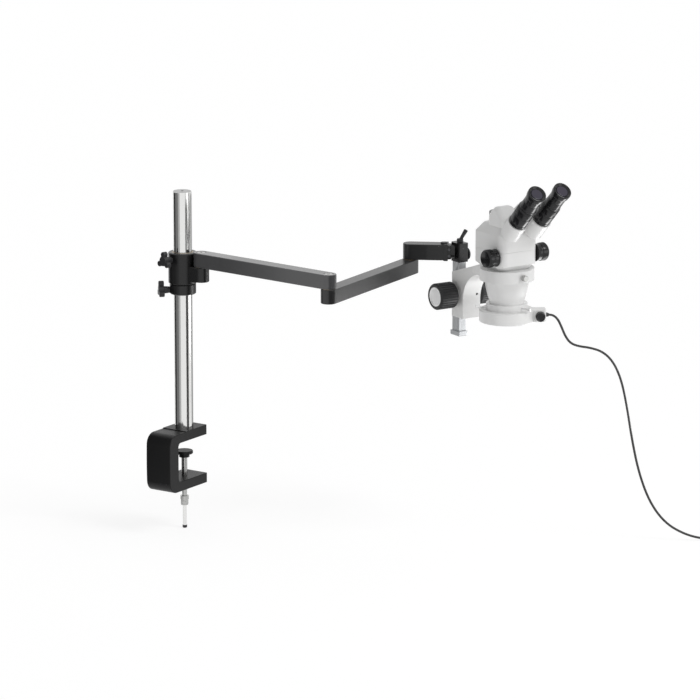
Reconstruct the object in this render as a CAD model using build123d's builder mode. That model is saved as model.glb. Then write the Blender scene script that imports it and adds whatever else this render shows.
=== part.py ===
from build123d import *
from math import cos, sin, tan, radians, degrees, pi, sqrt, atan2
import os

os.makedirs("parts", exist_ok=True)

# Stereo zoom microscope on a table clamp with a jointed double arm.
# The origin is on the column axis at the table face, the underside of the clamp's upper jaw.
# +Z is up, +X runs along the table's edge and +Y goes in over the table.

# Fits shared by all pieces
running_fit = 0.05
face_gap = 0.3
edge_break = 0.8

# Table clamp
clamp_width = 50.0
jaw_thickness = 17.0
throat_height = 68.0
jaw_tip_y = 32.0
spine_inner_y = -50.0
spine_thickness = 24.0
spine_bow = 1.5
clamp_corner_radius = 19.0
throat_corner_radius = 7.0
seat_step_y = -28.0
seat_step = 1.2
seat_floor = 4.5

# Column and its screw
column_radius = 16.0
column_top = 427.0
column_chamfer = 1.0
column_bolt_radius = 4.0
column_bolt_head_radius = 8.0
column_bolt_length = 24.0
column_centre_hole_radius = 2.5
column_centre_hole_depth = 6.0

# Clamp spindle, pressure pad and swing handle
table_thickness = 25.0
pad_radius = 15.0
pad_thickness = 5.5
pad_hub_radius = 9.0
pad_hub_height = 6.0
spindle_radius = 5.0
spindle_tip_radius = 4.2
spindle_tip_length = 7.5
spindle_neck_radius = 4.3
spindle_neck_top = -94.0
clevis_radius = 7.3
clevis_top = -105.0
clevis_bottom = -121.0
handle_pin_z = -116.4
handle_pin_radius = 2.2
handle_pin_head_radius = 3.1
handle_pin_head_height = 0.8
handle_radius = 3.5
handle_eye_radius = 4.8
handle_eye_width = 6.6
handle_slot_gap = 0.15
handle_tip_top = -157.0
handle_bottom = -162.0
handle_tip_wall = 0.5
spindle_turn = 34.0

# Safety collar and arm carrier on the column
safety_collar_radius = 22.5
safety_collar_bottom = 250.0
carrier_bottom = 268.3
carrier_top = 322.0
carrier_radius = 24.5
bush_wall = 2.0
bush_height = 14.0
bush_flange_height = 0.8
collar_chamfer = 1.4

# Clamping knobs of the two collars
knob_lobe_radius = 4.8
knob_lobe_circle = 11.0
knob_web_radius = 8.6
knob_head_height = 9.0
knob_neck_radius = 6.5
knob_neck_foot_radius = 5.5
knob_neck_length = 10.0
knob_stud_radius = 4.0
knob_edge_radius = 1.4
safety_knob_z = 257.0
safety_knob_angle = 224.0
carrier_knob_z = 311.0
carrier_knob_angle = 254.0

# Double arm
arm_width = 26.4
arm_height = 24.5
arm_length = 278.0
wrist_arm_height = 27.0
wrist_arm_length = 64.0
wrist_lip_length = 7.0
wrist_lip_depth = 1.4
shoulder_reach = 39.0
lug_bottom = 275.0
lug_top = 300.5
pivot_radius = 6.0
pivot_head_radius = 7.6
pivot_head_height = 3.0
pivot_recess_gap = 0.8
pivot_bush_wall = 1.8
pivot_flange_radius = 12.0
pivot_flange_height = 0.5
pivot_flange_gap = 0.1
pivot_socket_radius = 2.6
pivot_socket_depth = 2.0
pivot_seat_depth = 19.0
arm_one_angle = -5.0
arm_two_angle = 94.0
arm_three_angle = 28.5

# Tilting bracket at the end of the arm
rail_reach = 83.0
tilt_spigot_radius = 8.0
tilt_spigot_depth = 20.0
tilt_flange_length = 5.0
tilt_flange_size = 24.6
tilt_flange_corner = 4.0
flange_screw_radius = 1.8
flange_screw_head_radius = 2.3
flange_screw_head_height = 1.4
flange_screw_spread = 5.5
lock_screw_x = 57.0
lock_screw_radius = 3.0
lock_screw_head_radius = 6.0
lock_screw_head_height = 2.6
bracket_half_x = 9.6
bracket_half_y = 13.4
bracket_bottom = 298.5
bracket_top = 331.0
bracket_corner = 2.0
lever_hub_radius = 5.6
lever_hub_height = 6.5
lever_hub_y = -2.0
lever_stud_radius = 3.0
lever_length = 21.0
lever_rise = 60.0
lever_turn = -33.0
lever_root_radius = 2.7
lever_tip_radius = 3.7
bracket_knob_radius = 10.6
bracket_knob_rim = 3.2
bracket_knob_neck_radius = 5.0
bracket_knob_neck_length = 3.6
bracket_knob_stud_radius = 2.0
bracket_knob_z = 309.5

# Rail with its rack
head_angle = -23.0
rail_half_x = 6.5
rail_half_y = 10.5
rail_bottom = 177.5
rail_top = 327.5
rail_groove_back = 1.0
rail_groove_root = -1.5
rail_groove_front = -6.0
rail_neck_half = 4.0
foot_half_x = 9.2
foot_half_y = 13.2
foot_height = 8.0
rack_slot_half = 3.0
module = 0.8
pressure_angle = 20.0
pinion_teeth = 18
tooth_play = 0.10
rack_pitch_y = -6.6
rack_tooth_count = 27

# Focusing carriage, its pinion and knobs, measured from the rail's axis and the ring's top plane
ring_top = 312.5
optical_reach = 142.0
housing_half_x = 18.0
housing_back_y = -2.5
housing_front_y = -37.5
housing_top = -30.5
housing_height = 76.0
housing_corner = 3.0
arch_radius = 56.0
ring_height = 20.0
ring_outer_radius = 46.0
ring_web_half = 26.0
head_spigot_radius = 38.0
pinion_axis_z = -67.5
pinion_shaft_radius = 3.0
pinion_width = 5.4
pinion_pocket_gap = 0.6
knob_boss_radius = 13.0
knob_boss_height = 4.4
focus_knob_radius = 22.75
focus_knob_length = 36.8
focus_knob_edge = 1.6
focus_cap_radius = 17.0
focus_cap_height = 1.6
focus_shaft_depth = 24.0
tension_screw_radius = 2.2
tension_screw_x = 10.6
tension_screw_z = -66.0
tension_screw_length = 12.0
tension_screw_sink = 1.0
holder_screw_radius = 2.5
holder_screw_neck = 2.0
holder_screw_head_radius = 5.2
holder_screw_head_length = 8.5

# Microscope head, measured from the top plane of its holding ring
head_half_x = 39.0
head_back_y = 41.0
head_front_y = -38.0
head_front_corner = 16.0
head_back_corner = 6.0
main_body_bottom = 0.3
seam_z = 33.0
seam_gap = 0.3
bottom_chamfer = 9.0
cover_shoulder = 62.0
cover_top = 78.0
cover_inset_x = 8.0
cover_inset_back = 14.0
cover_inset_front = 2.0
cover_corner = 6.0
body_wall = 3.0
light_path_radius = 17.0
lower_body_radius = 37.0
lower_body_taper_top = -22.0
lower_body_taper_end = -56.0
lower_body_swell = 1.2
objective_radius = 29.5
objective_bottom = -86.0
objective_lip_radius = 21.0
objective_lip_height = 4.0
objective_lens_height = 5.0
zoom_axis_y = -23.0
zoom_axis_z = 25.0
zoom_shaft_radius = 3.0
zoom_knob_radius = 15.8
zoom_knob_length = 22.0
zoom_knob_edge = 2.0
photo_tube_radius = 17.5
photo_tube_y = 23.0
photo_tube_bottom = 56.0
photo_tube_top = 93.0
photo_tube_wall = 2.5

# Prism housings and eyepieces, measured from each housing's upright pivot
eye_half_spacing = 22.6
eye_pivot_y = -10.0
eye_pivot_radius = 7.0
eye_pivot_length = 12.0
eye_path_radius = 5.0
prism_half_width = 18.0
prism_top = 111.0
prism_shoulder = 90.0
prism_crown_back = -6.0
prism_crown_front = -19.0
prism_round = 9.0
prism_front_gap = 3.4
tube_angle = 45.0
tube_spread = 1.5
nose_reach = 55.0
nose_z = 91.0
nose_half = 17.5
nose_length = 24.0
diopter_radius = 16.0
diopter_length = 42.0
diopter_edge = 1.0
diopter_spigot_radius = 11.0
diopter_spigot_length = 8.0
eyepiece_inner_radius = 12.6
eyepiece_sunk = 7.0
eyepiece_radius = 14.6
eyepiece_length = 40.0
eyecup_radius = 16.0
eyecup_height = 9.0
eyepiece_path_radius = 9.0
eye_lens_radius = 10.4
eye_lens_height = 3.0
eye_lens_sunk = 2.0
eye_lens_crown = 1.2

# Ring light on the objective barrel
light_top = -71.0
light_bottom = -92.0
light_radius = 46.5
light_collar_radius = 35.0
light_collar_top = -60.0
light_channel_inner = 32.5
light_channel_outer = 43.5
light_channel_depth = 9.0
light_ledge = 1.0
light_corner = 2.0
diffuser_height = 2.0
light_screw_z = -65.0
light_screw_radius = 1.3
light_screw_length = 25.0
light_screw_head_radius = 2.6
light_screw_head_length = 5.5
light_screw_angles = (162.0, 282.0, 42.0)
box_angle = -33.0
box_reach = 66.0
box_width = 26.0
box_corner = 4.0
dimmer_reach = 56.5
dimmer_radius = 8.5
dimmer_height = 9.0
dimmer_stem_radius = 3.0
dimmer_stem_depth = 6.0
gland_length = 5.0
gland_root_radius = 4.2
gland_tip_radius = 2.8
gland_spigot_radius = 3.0
gland_spigot_length = 4.0

# Lead: points as distance from the gland's mouth and drop below it, in one upright plane
lead_radius = 2.0
lead_route = [
    (0.0, 0.0),
    (6.0, 0.0),
    (15.0, -7.0),
    (21.5, -21.0),
    (28.0, -37.0),
    (36.5, -49.0),
    (50.0, -54.5),
    (70.0, -57.0),
    (92.0, -64.0),
    (110.0, -82.0),
    (124.0, -114.0),
    (134.0, -162.0),
    (143.0, -218.0),
    (155.0, -274.0),
    (174.0, -326.0),
    (201.0, -363.0),
    (235.0, -383.0),
    (268.0, -391.0),
    (296.0, -391.0),
]
coil_reach = 304.0
coil_radius = 22.0
coil_columns = 2
coil_layers = 3
plug_radius = 5.0
plug_length = 24.0
plug_barrel_radius = 2.75
plug_barrel_length = 9.5
plug_bore_radius = 1.1
plug_offset = 13.0

arm_half = arm_width / 2
arm_one_bottom = lug_top + pivot_flange_height + pivot_flange_gap
arm_two_bottom = lug_top - arm_height
ring_bottom = ring_top - ring_height


def direction(angle):
    return Vector(cos(radians(angle)), sin(radians(angle)), 0)


shoulder_point = direction(0) * shoulder_reach
elbow_point = shoulder_point + direction(arm_one_angle) * arm_length
wrist_point = elbow_point + direction(arm_two_angle) * arm_length
rail_point = wrist_point + direction(arm_three_angle) * rail_reach
head_point = rail_point + direction(head_angle) * optical_reach

# Frames in which the groups are drawn: the head's -Y is the side that the eyepieces lean to
spindle_place = Location((0, 0, 0), (0, 0, spindle_turn))
carrier_place = Location((0, 0, 0), (0, 0, 0))
arm_one_place = Location(tuple(shoulder_point), (0, 0, arm_one_angle))
arm_two_place = Location(tuple(elbow_point), (0, 0, arm_two_angle))
arm_three_place = Location(tuple(wrist_point), (0, 0, arm_three_angle))
rail_place = Location(tuple(rail_point), (0, 0, head_angle + 90))
head_place = Location(tuple(head_point + Vector(0, 0, ring_top)), (0, 0, head_angle + 90))


def deliver(builder, label, place=Location()):
    """Label one finished piece, put it at its place on the stand and write it."""
    piece = builder.part.moved(place)
    piece.label = label
    export_step(piece, f"parts/{label}.step")


def rod(radius, bottom, top, mode=Mode.ADD):
    """Upright cylinder on the Z axis between two heights, for use inside a part."""
    with Locations((0, 0, bottom)):
        Cylinder(radius, top - bottom, align=(Align.CENTER, Align.CENTER, Align.MIN), mode=mode)


def corner_points(builder, points):
    """The sketch corners that lie closest to the given points."""
    return [builder.vertices().sort_by_distance(Vector(*p))[0] for p in points]


def rims(builder, radius):
    """The circular edges of a given radius."""
    circles = builder.edges().filter_by(GeomType.CIRCLE)
    return circles.filter_by(lambda edge: abs(edge.radius - radius) < 0.01)


# Clamp frame: one C-shaped casting, machined flat round the column's seat
spine_outer_y = spine_inner_y - spine_thickness
lower_jaw_top = -throat_height
lower_jaw_bottom = lower_jaw_top - jaw_thickness
spine_top = jaw_thickness - seat_step
with BuildPart() as clamp_frame:
    with BuildSketch(Plane.YZ) as clamp_profile:
        with BuildLine():
            Polyline(
                (spine_outer_y, lower_jaw_bottom),
                (jaw_tip_y, lower_jaw_bottom),
                (jaw_tip_y, lower_jaw_top),
                (spine_inner_y, lower_jaw_top),
                (spine_inner_y, 0),
                (jaw_tip_y, 0),
                (jaw_tip_y, jaw_thickness),
                (seat_step_y, jaw_thickness),
                (seat_step_y, spine_top),
                (spine_outer_y, spine_top),
            )
            ThreePointArc(
                (spine_outer_y, spine_top),
                (spine_outer_y - spine_bow, (spine_top + lower_jaw_bottom) / 2),
                (spine_outer_y, lower_jaw_bottom),
            )
        make_face()
        outer = [(spine_outer_y, lower_jaw_bottom), (spine_outer_y, spine_top)]
        fillet(corner_points(clamp_profile, outer), clamp_corner_radius)
        inner = [(spine_inner_y, lower_jaw_top), (spine_inner_y, 0)]
        fillet(corner_points(clamp_profile, inner), throat_corner_radius)
    extrude(amount=clamp_width / 2, both=True)
    sides = clamp_frame.faces().filter_by(Axis.X).sort_by(Axis.X)
    chamfer(sides[0].edges() + sides[-1].edges(), edge_break)
    for side in (-1, 1):
        with Locations((side * clamp_width / 2, (seat_step_y + jaw_tip_y) / 2, jaw_thickness)):
            Box(2 * edge_break, jaw_tip_y - seat_step_y, 2 * jaw_thickness + 1, mode=Mode.SUBTRACT)
    rod(column_radius, seat_floor, jaw_thickness + 1, Mode.SUBTRACT)
    with Locations(Location((0, 0, 0), (180, 0, 0))):
        CounterSinkHole(column_bolt_radius + face_gap, column_bolt_head_radius, depth=seat_floor + 1)
    rod(spindle_radius + running_fit, lower_jaw_bottom - 1, lower_jaw_top + 1, Mode.SUBTRACT)
deliver(clamp_frame, "clamp_frame")

with BuildPart() as column:
    rod(column_radius, seat_floor, column_top)
    chamfer(column.edges().group_by(Axis.Z)[-1], column_chamfer)
    rod(column_bolt_radius, seat_floor, seat_floor + column_bolt_length, Mode.SUBTRACT)
    rod(column_centre_hole_radius, column_top - column_centre_hole_depth, column_top, Mode.SUBTRACT)
deliver(column, "column")

# Countersunk screw that draws the column down into its seat
bolt_head_height = column_bolt_head_radius - column_bolt_radius - face_gap
with BuildPart() as column_screw:
    with BuildSketch(Plane.XZ) as screw_profile:
        with BuildLine():
            Polyline(
                (0, face_gap),
                (column_bolt_head_radius - face_gap * 1.5, face_gap),
                (column_bolt_radius, face_gap + bolt_head_height),
                (column_bolt_radius, seat_floor + column_bolt_length - 1),
                (0, seat_floor + column_bolt_length - 1),
                close=True,
            )
        make_face()
    revolve(axis=Axis.Z)
    with BuildSketch(Plane.XY.offset(face_gap)):
        RegularPolygon(2.9, 6)
    extrude(amount=2.2, mode=Mode.SUBTRACT)
deliver(column_screw, "column_screw")

# Pressure pad that stays still on the spindle's turning tip
pad_top = -table_thickness
pad_bottom = pad_top - pad_thickness
pad_hub_bottom = pad_bottom - pad_hub_height
with BuildPart() as pressure_pad:
    rod(pad_radius, pad_bottom, pad_top)
    chamfer(pressure_pad.edges(), edge_break)
    rod(pad_hub_radius, pad_hub_bottom, pad_bottom)
    tip_top = pad_hub_bottom + spindle_tip_length
    rod(spindle_tip_radius + running_fit, pad_hub_bottom, tip_top + face_gap, Mode.SUBTRACT)
deliver(pressure_pad, "pressure_pad")

# Spindle with the clevis in which the handle swings
slot_half = handle_radius + handle_slot_gap
with BuildPart() as clamp_spindle:
    rod(spindle_tip_radius, pad_hub_bottom - 1, pad_hub_bottom + spindle_tip_length)
    rod(spindle_radius, spindle_neck_top, pad_hub_bottom - face_gap)
    rod(spindle_neck_radius, clevis_top, spindle_neck_top)
    rod(clevis_radius, clevis_bottom, clevis_top)
    chamfer(clamp_spindle.edges().filter_by(GeomType.CIRCLE).group_by(Axis.Z)[0], edge_break)
    slot_top = handle_pin_z + handle_eye_radius + face_gap
    with Locations((0, 0, clevis_bottom - 1)):
        Box(
            4 * clevis_radius,
            2 * slot_half,
            slot_top - clevis_bottom + 1,
            align=(Align.CENTER, Align.CENTER, Align.MIN),
            mode=Mode.SUBTRACT,
        )
    with Locations(Location((0, 0, handle_pin_z), (90, 0, 0))):
        Cylinder(handle_pin_radius, 4 * clevis_radius, mode=Mode.SUBTRACT)
deliver(clamp_spindle, "clamp_spindle", spindle_place)

with BuildPart() as handle_pin:
    with Locations(Location((0, 0, handle_pin_z), (90, 0, 0))):
        Cylinder(handle_pin_radius, 2 * clevis_radius + 0.4)
    for side in (-1, 1):
        with Locations(Location((0, side * (clevis_radius + handle_pin_head_height / 2), handle_pin_z), (90, 0, 0))):
            Cylinder(handle_pin_head_radius, handle_pin_head_height)
deliver(handle_pin, "handle_pin", spindle_place)

# Swing handle: a plain rod with an eye at the top and a black cap on its end
with BuildPart() as clamp_handle:
    rod(handle_radius, handle_tip_top, handle_pin_z)
    rod(handle_radius - 1, handle_bottom + 1.5, handle_tip_top)
    with Locations(Location((0, 0, handle_pin_z), (90, 0, 0))):
        Cylinder(handle_eye_radius, handle_eye_width)
        Cylinder(handle_pin_radius + running_fit, 4 * handle_radius, mode=Mode.SUBTRACT)
deliver(clamp_handle, "clamp_handle", spindle_place)

with BuildPart() as handle_tip:
    rod(handle_radius + handle_tip_wall, handle_bottom, handle_tip_top)
    fillet(handle_tip.edges().group_by(Axis.Z)[0], 1.5)
    rod(handle_radius - 1, handle_bottom + 1.5, handle_tip_top, Mode.SUBTRACT)
deliver(handle_tip, "handle_tip", spindle_place)


def star_knob(collar_radius, stud_depth):
    """Three-lobed clamping knob on its stud, drawn along +Z from the collar's face."""
    head_bottom = collar_radius + face_gap + knob_neck_length
    with BuildPart() as knob:
        with BuildSketch(Plane.XY.offset(head_bottom)) as lobes:
            Circle(knob_web_radius)
            with PolarLocations(knob_lobe_circle, 3):
                Circle(knob_lobe_radius)
            with PolarLocations(knob_lobe_circle / 2, 3):
                Rectangle(knob_lobe_circle, 1.7 * knob_lobe_radius)
        extrude(amount=knob_head_height)
        rims = knob.edges().filter_by(Plane.XY)
        fillet(rims, knob_edge_radius)
        with BuildSketch(Plane.XY.offset(collar_radius + face_gap)):
            Circle(knob_neck_foot_radius)
        with BuildSketch(Plane.XY.offset(head_bottom + 1)):
            Circle(knob_neck_radius)
        loft()
        rod(knob_stud_radius, collar_radius - stud_depth, collar_radius + 1)
    return knob


def radial_place(angle, height):
    """A frame on the column axis whose +Z points outwards at an angle."""
    plane = Plane(origin=(0, 0, height), x_dir=(0, 0, 1), z_dir=direction(angle))
    return Location(plane)


def radial_hole(radius, angle, height, reach):
    """Cut a hole from the column axis outwards, for use inside a part."""
    with Locations(radial_place(angle, height)):
        Cylinder(radius, reach, align=(Align.CENTER, Align.CENTER, Align.MIN), mode=Mode.SUBTRACT)


# Safety collar that carries the arm at its height
stud_tip_gap = 0.4
with BuildPart() as safety_collar:
    rod(safety_collar_radius, safety_collar_bottom, carrier_bottom - face_gap)
    chamfer(safety_collar.edges(), collar_chamfer)
    rod(column_radius + running_fit, safety_collar_bottom, carrier_bottom, Mode.SUBTRACT)
    radial_hole(knob_stud_radius + running_fit, safety_knob_angle, safety_knob_z, 2 * safety_collar_radius)
deliver(safety_collar, "safety_collar")

safety_stud_depth = safety_collar_radius - column_radius - stud_tip_gap
safety_knob = star_knob(safety_collar_radius, safety_stud_depth)
deliver(safety_knob, "safety_knob", radial_place(safety_knob_angle, safety_knob_z))

# Arm carrier: a long collar with the shoulder lug, turning on two plain bushes
bush_outer_radius = column_radius + running_fit + bush_wall
with BuildPart() as arm_carrier:
    rod(carrier_radius, carrier_bottom, carrier_top)
    chamfer(arm_carrier.edges(), collar_chamfer)
    with BuildSketch(Plane.XY.offset(lug_bottom)) as lug:
        with Locations(tuple(shoulder_point)[:2]):
            Circle(arm_half)
        with Locations((shoulder_reach / 2, 0)):
            Rectangle(shoulder_reach, arm_width)
    extrude(amount=lug_top - lug_bottom)
    chamfer(rims(arm_carrier, arm_half), edge_break)
    rod(bush_outer_radius, carrier_bottom, carrier_top, Mode.SUBTRACT)
    radial_hole(knob_stud_radius + running_fit, carrier_knob_angle, carrier_knob_z, 2 * carrier_radius)
    with Locations((shoulder_reach, 0, lug_top)):
        Cylinder(
            pivot_radius,
            pivot_seat_depth,
            align=(Align.CENTER, Align.CENTER, Align.MAX),
            mode=Mode.SUBTRACT,
        )
deliver(arm_carrier, "arm_carrier", carrier_place)

with BuildPart() as carrier_bushes:
    rod(bush_outer_radius, carrier_bottom, carrier_bottom + bush_height)
    rod(bush_outer_radius, carrier_top - 2 * bush_height, carrier_top)
    rod(column_radius + running_fit, carrier_bottom, carrier_top, Mode.SUBTRACT)
    radial_hole(knob_stud_radius + 1, carrier_knob_angle, carrier_knob_z, 2 * carrier_radius)
deliver(carrier_bushes, "carrier_bushes", carrier_place)

carrier_knob = star_knob(carrier_radius, carrier_radius - column_radius - stud_tip_gap)
deliver(carrier_knob, "carrier_knob", radial_place(carrier_knob_angle, carrier_knob_z))

# Pivots: a shoulder screw whose head keeps the upper piece down on a flanged bush
recess_radius = pivot_head_radius + pivot_recess_gap
recess_depth = pivot_head_height + face_gap
bush_radius = pivot_radius + running_fit + pivot_bush_wall


def pivot_screw(seat_z, head_z, depth):
    """Screw fixed depth below seat_z, its head's outer face at head_z."""
    toward = 1 if head_z > seat_z else -1
    low, high = sorted((seat_z - toward * depth, head_z))
    with BuildPart() as screw:
        rod(pivot_radius, low, high)
        low, high = sorted((head_z - toward * pivot_head_height, head_z))
        rod(pivot_head_radius, low, high)
        chamfer(screw.edges().group_by(Axis.Z)[-1 if toward > 0 else 0], 0.4)
        low, high = sorted((head_z - toward * pivot_socket_depth, head_z))
        with BuildSketch(Plane.XY.offset(low)):
            RegularPolygon(pivot_socket_radius, 6)
        extrude(amount=high - low, mode=Mode.SUBTRACT)
    return screw


def pivot_bush(foot_z, top_z, flange_at_top=False):
    """Flanged sleeve between two heights, its flange outside them."""
    with BuildPart() as bush:
        rod(bush_radius, foot_z, top_z)
        if flange_at_top:
            rod(pivot_flange_radius, top_z, top_z + pivot_flange_height)
        else:
            rod(pivot_flange_radius, foot_z - pivot_flange_height, foot_z)
        rod(pivot_radius + running_fit, foot_z - 1, top_z + 1, Mode.SUBTRACT)
    return bush


arm_one_top = arm_one_bottom + arm_height
recess_floor = arm_one_top - recess_depth
for name, place in (("shoulder", arm_one_place), ("elbow", arm_one_place)):
    reach = 0 if name == "shoulder" else arm_length
    spot = place * Location((reach, 0, 0))
    screw = pivot_screw(lug_top, arm_one_top - 0.2, pivot_seat_depth - 1)
    deliver(screw, f"{name}_pivot", spot)
    bush = pivot_bush(arm_one_bottom, recess_floor - 0.1)
    deliver(bush, f"{name}_bush", spot)

# First arm: a bar with a round end over each pivot
with BuildPart() as arm_one:
    with BuildSketch(Plane.XY.offset(arm_one_bottom)):
        with Locations((arm_length / 2, 0)):
            SlotCenterToCenter(arm_length, arm_width)
    extrude(amount=arm_height)
    chamfer(arm_one.faces().sort_by(Axis.Z)[-1].edges(), edge_break)
    chamfer(arm_one.faces().sort_by(Axis.Z)[0].edges(), edge_break)
    for x in (0, arm_length):
        with Locations((x, 0, arm_one_bottom)):
            Cylinder(
                bush_radius,
                arm_height,
                align=(Align.CENTER, Align.CENTER, Align.MIN),
                mode=Mode.SUBTRACT,
            )
        with Locations((x, 0, recess_floor)):
            Cylinder(
                recess_radius,
                arm_height,
                align=(Align.CENTER, Align.CENTER, Align.MIN),
                mode=Mode.SUBTRACT,
            )
deliver(arm_one, "arm_one", arm_one_place)

# Second arm: under the first at the elbow, carrying the third on top at the wrist
wrist_recess_top = arm_two_bottom + recess_depth
with BuildPart() as arm_two:
    with BuildSketch(Plane.XY.offset(arm_two_bottom)):
        with Locations((arm_length / 2, 0)):
            SlotCenterToCenter(arm_length, arm_width)
    extrude(amount=arm_height)
    chamfer(arm_two.faces().sort_by(Axis.Z)[-1].edges(), edge_break)
    chamfer(arm_two.faces().sort_by(Axis.Z)[0].edges(), edge_break)
    with Locations((0, 0, lug_top)):
        Cylinder(
            pivot_radius,
            pivot_seat_depth,
            align=(Align.CENTER, Align.CENTER, Align.MAX),
            mode=Mode.SUBTRACT,
        )
    with Locations((arm_length, 0, arm_two_bottom)):
        Cylinder(
            bush_radius,
            arm_height,
            align=(Align.CENTER, Align.CENTER, Align.MIN),
            mode=Mode.SUBTRACT,
        )
        Cylinder(
            recess_radius,
            recess_depth,
            align=(Align.CENTER, Align.CENTER, Align.MIN),
            mode=Mode.SUBTRACT,
        )
deliver(arm_two, "arm_two", arm_two_place)

arm_three_bottom = lug_top + pivot_flange_height + pivot_flange_gap
arm_three_top = arm_three_bottom + wrist_arm_height
arm_axis_z = (arm_three_bottom + arm_three_top) / 2
wrist_pivot = pivot_screw(arm_three_bottom, arm_two_bottom + 0.2, pivot_seat_depth - 1)
deliver(wrist_pivot, "wrist_pivot", arm_three_place)
wrist_bush = pivot_bush(wrist_recess_top + 0.1, lug_top, flange_at_top=True)
deliver(wrist_bush, "wrist_bush", arm_three_place)

# Third arm: a short bar with a lip at its outer end, where the tilting bracket meets it
with BuildPart() as arm_three:
    with BuildSketch(Plane.XY.offset(arm_three_bottom)):
        Circle(arm_half)
        with Locations((wrist_arm_length / 2, 0)):
            Rectangle(wrist_arm_length, arm_width)
    extrude(amount=wrist_arm_height)
    chamfer(arm_three.faces().sort_by(Axis.Z)[-1].edges(), edge_break)
    chamfer(arm_three.faces().sort_by(Axis.Z)[0].edges(), edge_break)
    with Locations((wrist_arm_length - wrist_lip_length / 2, 0, arm_axis_z)):
        Box(wrist_lip_length, arm_width + wrist_lip_depth, wrist_arm_height + wrist_lip_depth)
    with Locations((0, 0, arm_three_bottom)):
        Cylinder(
            pivot_radius,
            pivot_seat_depth,
            align=(Align.CENTER, Align.CENTER, Align.MIN),
            mode=Mode.SUBTRACT,
        )
    with Locations(Location((wrist_arm_length, 0, arm_axis_z), (0, 90, 0))):
        Cylinder(
            tilt_spigot_radius + running_fit,
            tilt_spigot_depth + 1,
            align=(Align.CENTER, Align.CENTER, Align.MAX),
            mode=Mode.SUBTRACT,
        )
    with Locations((lock_screw_x, 0, arm_axis_z)):
        Cylinder(
            lock_screw_radius,
            wrist_arm_height,
            align=(Align.CENTER, Align.CENTER, Align.MIN),
            mode=Mode.SUBTRACT,
        )
    with Locations((lock_screw_x, 0, arm_three_top)):
        Cylinder(
            lock_screw_head_radius + face_gap,
            wrist_lip_depth,
            align=(Align.CENTER, Align.CENTER, Align.MIN),
            mode=Mode.SUBTRACT,
        )
deliver(arm_three, "arm_three", arm_three_place)

# Flange at the arm's end: a square plate with two small screws on the side
flange_start = wrist_arm_length
flange_end = flange_start + tilt_flange_length
flange_screw_x = flange_start + tilt_flange_length / 2
flange_half = tilt_flange_size / 2
with BuildPart() as tilt_flange:
    with BuildSketch(Plane(origin=(flange_start, 0, arm_axis_z), x_dir=(0, 1, 0), z_dir=(1, 0, 0))):
        RectangleRounded(tilt_flange_size, tilt_flange_size, tilt_flange_corner)
        Circle(tilt_spigot_radius + running_fit, mode=Mode.SUBTRACT)
    extrude(amount=tilt_flange_length)
    for side in (-1, 1):
        with Locations(Location((flange_screw_x, -flange_half, arm_axis_z + side * flange_screw_spread), (90, 0, 0))):
            Cylinder(flange_screw_radius, 7, mode=Mode.SUBTRACT)
deliver(tilt_flange, "tilt_flange", arm_three_place)

with BuildPart() as tilt_flange_screws:
    for side in (-1, 1):
        spot = Location((flange_screw_x, -flange_half, arm_axis_z + side * flange_screw_spread), (90, 0, 0))
        with Locations(spot):
            Cylinder(flange_screw_radius, 3, align=(Align.CENTER, Align.CENTER, Align.MAX))
            Cylinder(
                flange_screw_head_radius,
                flange_screw_head_height,
                align=(Align.CENTER, Align.CENTER, Align.MIN),
            )
deliver(tilt_flange_screws, "tilt_flange_screws", arm_three_place)

# Flat-headed screw on the arm that locks the bracket's spigot
with BuildPart() as tilt_lock_screw:
    rod(lock_screw_radius, arm_axis_z + tilt_spigot_radius + face_gap, arm_three_top)
    rod(lock_screw_head_radius, arm_three_top, arm_three_top + lock_screw_head_height)
    fillet(tilt_lock_screw.edges().group_by(Axis.Z)[-1], 1.2)
deliver(tilt_lock_screw, "tilt_lock_screw", arm_three_place * Location((lock_screw_x, 0, 0)))

# Tilting bracket: a block round the rail, with a spigot that turns in the arm's end
arm_in_rail_angle = arm_three_angle - (head_angle + 90)
spigot_axis = direction(arm_in_rail_angle)
spigot_face = flange_end + face_gap - rail_reach
rail_outline = [
    (rail_half_x, rail_half_y),
    (rail_half_x, rail_groove_back),
    (rail_neck_half, rail_groove_root),
    (rail_half_x, rail_groove_front),
    (rail_half_x, -rail_half_y),
]
rail_section = rail_outline + [(-x, y) for x, y in reversed(rail_outline)]
with BuildPart() as tilt_bracket:
    with BuildSketch(Plane.XY.offset(bracket_bottom)):
        RectangleRounded(2 * bracket_half_x, 2 * bracket_half_y, bracket_corner)
    extrude(amount=bracket_top - bracket_bottom)
    axis_plane = Plane(
        origin=tuple(spigot_axis * spigot_face + Vector(0, 0, arm_axis_z)),
        x_dir=(0, 0, 1),
        z_dir=tuple(spigot_axis),
    )
    with BuildSketch(axis_plane):
        Rectangle(4 * bracket_half_y, 4 * bracket_half_y)
    extrude(amount=-bracket_half_y, mode=Mode.SUBTRACT)
    with BuildSketch(axis_plane):
        Circle(flange_half)
    extrude(amount=-spigot_face / 2)
    with BuildSketch(axis_plane):
        Circle(tilt_spigot_radius)
    extrude(amount=-(tilt_flange_length + face_gap + tilt_spigot_depth))
    with BuildSketch(Plane.XY.offset(bracket_bottom - 1)):
        Polygon(*rail_section, align=None)
    extrude(amount=rail_top - bracket_bottom + 1, mode=Mode.SUBTRACT)
    with Locations(Location((bracket_half_x, 0, bracket_knob_z), (0, 90, 0))):
        Cylinder(bracket_knob_stud_radius + running_fit, 2 * (bracket_half_x - rail_half_x), mode=Mode.SUBTRACT)
    with Locations((0, lever_hub_y, bracket_top)):
        Cylinder(lever_stud_radius + running_fit, 2 * (bracket_top - rail_top), mode=Mode.SUBTRACT)
deliver(tilt_bracket, "tilt_bracket", rail_place)

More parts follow.
